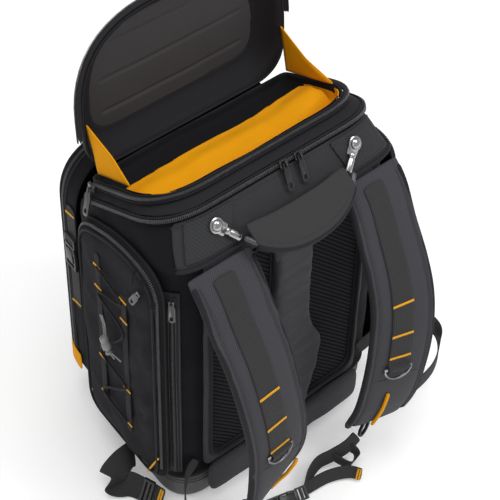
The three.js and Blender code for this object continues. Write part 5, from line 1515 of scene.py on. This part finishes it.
def buildHandlePatch(name):
    places, title = handle["patches"][name], name.capitalize()
    shares, seat, thick = [0.1, 0.3, 0.5, 0.7, 0.86], 4.1, 1.8
    rings = [[onYoke(place, s, seat) for s in shares] + [onYoke(place, s, seat + thick) for s in reversed(shares)]
             for place in places]
    reach = [0.0]
    for a, b in zip(rings, rings[1:]):
        reach.append(reach[-1] + (b[2] - a[2]).length)
    slope = (rings[0][4] - rings[0][0]).length / (shares[-1] - shares[0])
    patch = bmesh.new()
    loft(patch, rings, along=reach, across=[s * slope for s in shares + shares[::-1]])
    bevelSharp(patch, 0.6, 2, 50)
    cover = finishPiece(patch, "handlePatch" + title, skins["yokeCloth"], node="handle_patch_" + name,
                        levels=1, uv="swept")
    thread = bmesh.new()
    border = [onYoke(p, 0.15, seat + thick + 0.2) for p in places]
    border += [onYoke(p, 0.81, seat + thick + 0.2) for p in reversed(places)]
    threadRow(thread, straightRoute(border, closed=True), 3.2, 2.2, 0.4)
    finishPiece(thread, "patchStitches" + title, skins["blackThread"])


def buildHandle():
    bm = bmesh.new()
    tube(bm, evenly(cableRoute, 48), handle["radius"], 12)
    cable = finishPiece(bm, "handleCable", skins["cable"], node="handle_cable", levels=1,
                        uv="swept")
    for name, hand in (("left", -1), ("right", 1)):
        buildHandlePatch(name)
        buildHandleEnd(name, hand)
    down, up = Vector(handle["down"]), Vector(handle["up"])
    half, last = handle["half"], handle["stations"] - 1
    rings, along = [], []
    for k in range(last + 1):
        x = mix(-half, half, k / last)
        here = cableAt(x)
        chord = max(1, 37 * math.sqrt(max(1 - (x / (half + 4)) ** 2, 0)))
        section = [(6.4, -1.4), (6.4, 1.4), (5.4, 3.8), (3, 5.4), (0, 5.7), (-3, 5.3), (-6.4, 4.3), (-9, 3.9),
                   (-9 - chord * 0.35, 3.6), (-9 - chord * 0.7, 3.0), (-9 - chord + 1, 2.3), (-9 - chord, 1.2),
                   (-9 - chord, -1.2), (-9 - chord + 1, -2.3), (-9 - chord * 0.5, -3.2), (-9, -3.9), (-6.4, -4.3),
                   (-3, -5.3), (0, -5.7), (3, -5.4), (5.4, -3.8)]
        rings.append([here + down * a * mm + up * b * mm for a, b in section])
        along.append(k / last * 0.16)
    bm = bmesh.new()
    loft(bm, rings, along=along, across=[0.002 * a for a in range(21)])
    grip = finishPiece(bm, "handleGrip", skins["gripCloth"], node="handle_grip", levels=1)
    binding = [cableAt(mix(-half + 1, half - 1, k / 48)) + down * 3.6 * mm for k in range(49)]
    bm = bmesh.new()
    tube(bm, binding, 4.0, 10, ups=[up] * 49, flat=1.42)
    finishPiece(bm, "gripBinding", skins["binding"], levels=1, uv="swept")
    thread = bmesh.new()
    threadRow(thread, straightRoute([cableAt(mix(-66, 66, k / 40)) + down * -2.6 * mm + up * 5.5 * mm
                                     for k in range(41)]), 3.2, 2.2, 0.35)
    finishPiece(thread, "gripStitches", skins["blackThread"])


buildHandle()
print("handle made")

# Chest strap
chest = {"route": [(64, -186, 38), (46, -186, 30), (26, -180, 22), (8, -175, 18), (-12, -180, 13), (-30, -192, 11)],
         "loop": [(50, -186, 31), (54, -197, 17), (40, -200, 12), (26, -180, 21)],
         "tail": [(-29, -191, 11), (8, -196, 11), (32, -209, 12), (40, -222, 12)], "wide": 20}


def buildChestStrap():
    for name, points, side, wide in (("Main", chest["route"], (0.1, 0.35, 0.9), 1.0),
                                     ("Loop", chest["loop"], (0.2, -0.3, 0.95), 0.8),
                                     ("Tail", chest["tail"], (0.2, 0.5, 0.75), 0.9)):
        route = smoothRoute([at(*p) for p in points])
        band = ribbon("chestStrap" + name, skins["webbing"], routeStations(route, 30, Vector(side)),
                      chest["wide"] * wide, 1.8, node="sternum_webbing" if name == "Main" else None)
    strapTacks("chestTacks", route, Vector(side), (0.93, 0.97), 15)
    a, b = at(-31.8, -195, 11.7), at(-88, -190, 26)
    releaseBuckle("chestBuckle", "sternum_buckle", hungFrame((a + b) / 2, b - a, Vector((0.1, -0.6, 0.8))), 18,
                  (b - a).length / mm, 8)
    roundedCopy("sternum_hook", "chestHook", skins["blackPlastic"], 0.9, 3)


buildChestStrap()

# Waist belt
belt = {"route": [(-168.6, -20, 32), (-176, -22, 38), (-186, -24, 40), (-198, -25, 36), (-212, -27, 24),
                  (-208, -34, 16), (-196, -44, 16), (-187, -66, 16), (-181, -92, 16)], "wide": 34,
        "side": (0.25, 0.6, 0.75), "lock": 0.82}


def buildBelt():
    route, side = smoothRoute([at(*p) for p in belt["route"]]), Vector(belt["side"])
    band = ribbon("beltWebbing", skins["webbing"], routeStations(route, 50, side), belt["wide"], 1.8,
                  node="belt_webbing")
    along = heading(route, belt["lock"])
    across = squared(side, along)
    up = across.cross(along).normalized()
    turn = Matrix((across, along, up)).transposed().to_4x4()
    ladderLock("beltLock", "belt_lock", Matrix.Translation(onRoute(route, belt["lock"]) - up * 4.5 * mm) @ turn,
               belt["wide"] + 5, 16, 5)
    strapTacks("beltTacks", route, side, (0.95, 0.975), 30)


buildBelt()

# Lacing on the left pocket
lacing = {"rows": [(352, 334), (308, 286), (204, 190), (132, 122)], "front": 20, "rear": -34, "out": 16}


# Cord lock: a ribbed barrel with its plunger, and the pale drawcord ends through it
def buildCordLock(out):
    middle = onSide(-1, -7, 246, out + 1.6 + 0.3 + 6.2)
    frame = hungFrame(middle, Vector((0, -0.45, -0.9)), Vector((-1, 0, 0)))
    bm = bmesh.new()
    turned(bm, [(0, -12), (4.2, -12), (5.2, -11), (5.4, -6), (4.8, -5), (4.8, -3.6), (5.6, -2.6), (5.6, 4), (4.6, 5.2),
                (3.2, 5.4), (3.2, 8), (4.2, 8.4), (4.2, 11), (3.4, 12), (0, 12)],
           frame @ Matrix.Rotation(math.radians(90), 4, "X"), 18)
    for shift in (-1.9, 1.9):
        tube(bm, [frame @ at(shift, y, z) for y, z in ((38, -7.0), (26, -6.6), (14, -3.4), (10, -1))], 1.0, 6)
        tube(bm, [frame @ at(shift * (1 + k), -10 - 5 * k, -1 - 2 * k) for k in range(4)], 1.0, 6)
    return finishPiece(bm, "cordLock", skins["paleToggle"], node="cord_lock", sharp=40)


def buildLacing():
    along = Vector((0.10101, 1, 0)).normalized()
    for name, y, top, bottom in (("Front", lacing["front"], 372, 112), ("Rear", lacing["rear"], 350, 104)):
        route = smoothRoute([onSide(-1, y, z, lacing["out"] + 1.2) for z in (top, (top + bottom) / 2, bottom)])
        strip = ribbon("laceStrip" + name, skins["darkWebbing"], routeStations(route, 24, along), 12, 1.8,
                       node="lace_strip_" + name.lower())
    out = lacing["out"] + 0.6 + 1.8 + 1.6 + 0.2
    points = [p for front, rear in lacing["rows"]
              for p in (onSide(-1, lacing["front"], front, out), onSide(-1, lacing["rear"], rear, out))]
    route = smoothRoute(points)
    bm = bmesh.new()
    line = evenly(route, 90)
    tube(bm, line, 1.6, 8)
    cord = finishPiece(bm, "bungeeCord", skins["binding"], node="bungee_cord", levels=1, uv="swept")
    lock = buildCordLock(out)
    tacks = bmesh.new()
    for y, heights in ((lacing["front"], (350, 315, 193, 126)), (lacing["rear"], (340, 306, 184, 120))):
        for z in heights:
            tackRow(tacks, onSide(-1, y, z, lacing["out"] + 2.2), along, Vector((0, 0, 1)), Vector((-1, 0, 0)), 16,
                    length=2.3)
    tag = [onSide(-1, mix(-66, -92, s / 8), mix(54, 108, s / 8), 13.6) for s in range(9)]
    tube(tacks, tag, 1.3, 6, ups=[Vector((-1, 0, 0))] * 9)
    finishPiece(tacks, "laceTacks", skins["yellowThread"])


buildLacing()

# Side zip, sliders and pulls
fittings = {"side_zip": ("zipTape", "webbing"), "main_slider_left": ("blackMetal", "black_metal"),
            "main_slider_right": ("blackMetal", "black_metal"), "lid_slider": ("blackMetal", "black_metal"),
            "main_pull_left": ("blackPlastic", "black_plastic"), "main_pull_right": ("blackPlastic", "black_plastic"),
            "lid_pull": ("greyMetal", "black_metal"), "pocket_pull_left": ("greyMetal", "black_metal"),
            "pocket_pull_right": ("blackMetal", "black_metal"), "side_pull": ("greyMetal", "black_metal")}
for node, (skin, slot) in fittings.items():
    words = node.split("_")
    title = words[0] + "".join(word.capitalize() for word in words[1:])
    pull = "pull" in words
    roundedCopy(node, title, skins[skin], 0.4 if pull else 0.5, body=node if pull else "bag", least=50)


# Teeth and edge cords of the side zip, down the rear left corner
def buildSideZip():
    coil, line = bmesh.new(), []
    for z in range(66, 365, 6):
        swell = 1.5 * ((z - 58) / 182 if z < 240 else 1 - (z - 240) / 181.5)
        outline = fourCorners(dict(bodyPlan, halfBack=172 + swell))
        along = (outline[7] - outline[5]).normalized()
        out = Vector((along.y, -along.x, 0))
        line.append(at(outline[6].x, outline[6].y, z) + out * 3.6 * mm)
    teethRow(coil, straightRoute(line), lambda share: out, 2.2, 1.3, 4.4, 1.4)
    for hand in (-1, 1):
        for shift, sink in ((4.2, 1.5), (8.2, 2.0)):
            side = Vector((along.x, along.y, 0)) * shift * hand * mm
            tube(coil, [p + side - out * sink * mm for p in line], 0.75, 6)
    finishPiece(coil, "sideZipCoil", skins["zipCoil"])


buildSideZip()
print("zips made")

# Floor and light
studio = {"floor": 0.9, "glow": 0.22, "world": 0.54, "lights": [
    {"name": "key", "place": (1.3, -2.0, 2.5), "power": 27, "size": 1.3},
    {"name": "overhead", "place": (-0.2, -0.3, 3.5), "power": 56, "size": 2.6},
    {"name": "fill", "place": (-2.2, -1.8, 1.6), "power": 7, "size": 1.6}]}


def buildStudio():
    bm = bmesh.new()
    bmesh.ops.create_grid(bm, x_segments=1, y_segments=1, size=6)
    for face in bm.faces:
        face.smooth = True
    floor = asObject(bm, "floor")
    material, tree, shader = newMaterial("paper")
    place = tree.nodes.new("ShaderNodeTexCoord")
    cloud = placeGroup(tree, "blotch", Vector=place.outputs["Object"], Size=0.4)
    tree.links.new(blend(tree, (studio["floor"] * 0.985,) * 3, (studio["floor"],) * 3, cloud.outputs["Shade"]),
                   shader.inputs["Base Color"])
    shader.inputs["Roughness"].default_value = 0.9
    shader.inputs["Emission Color"].default_value = (1, 1, 1, 1)
    shader.inputs["Emission Strength"].default_value = studio["glow"]
    floor.data.materials.append(material)
    world = bpy.data.worlds.new("studio")
    world.use_nodes = True
    world.node_tree.nodes["Background"].inputs["Color"].default_value = (1, 1, 1, 1)
    world.node_tree.nodes["Background"].inputs["Strength"].default_value = studio["world"]
    bpy.context.scene.world = world
    aim = Vector((0, 0, 0.25))
    for lamp in studio["lights"]:
        data = bpy.data.lights.new(lamp["name"], "AREA")
        data.energy = lamp["power"]
        data.shape = "DISK"
        data.size = lamp["size"]
        light = bpy.data.objects.new(lamp["name"], data)
        bpy.context.scene.collection.objects.link(light)
        light.location = lamp["place"]
        light.rotation_euler = (Vector(lamp["place"]) - aim).to_track_quat("Z", "Y").to_euler()
    bpy.context.scene.view_settings.view_transform = "Standard"


buildStudio()
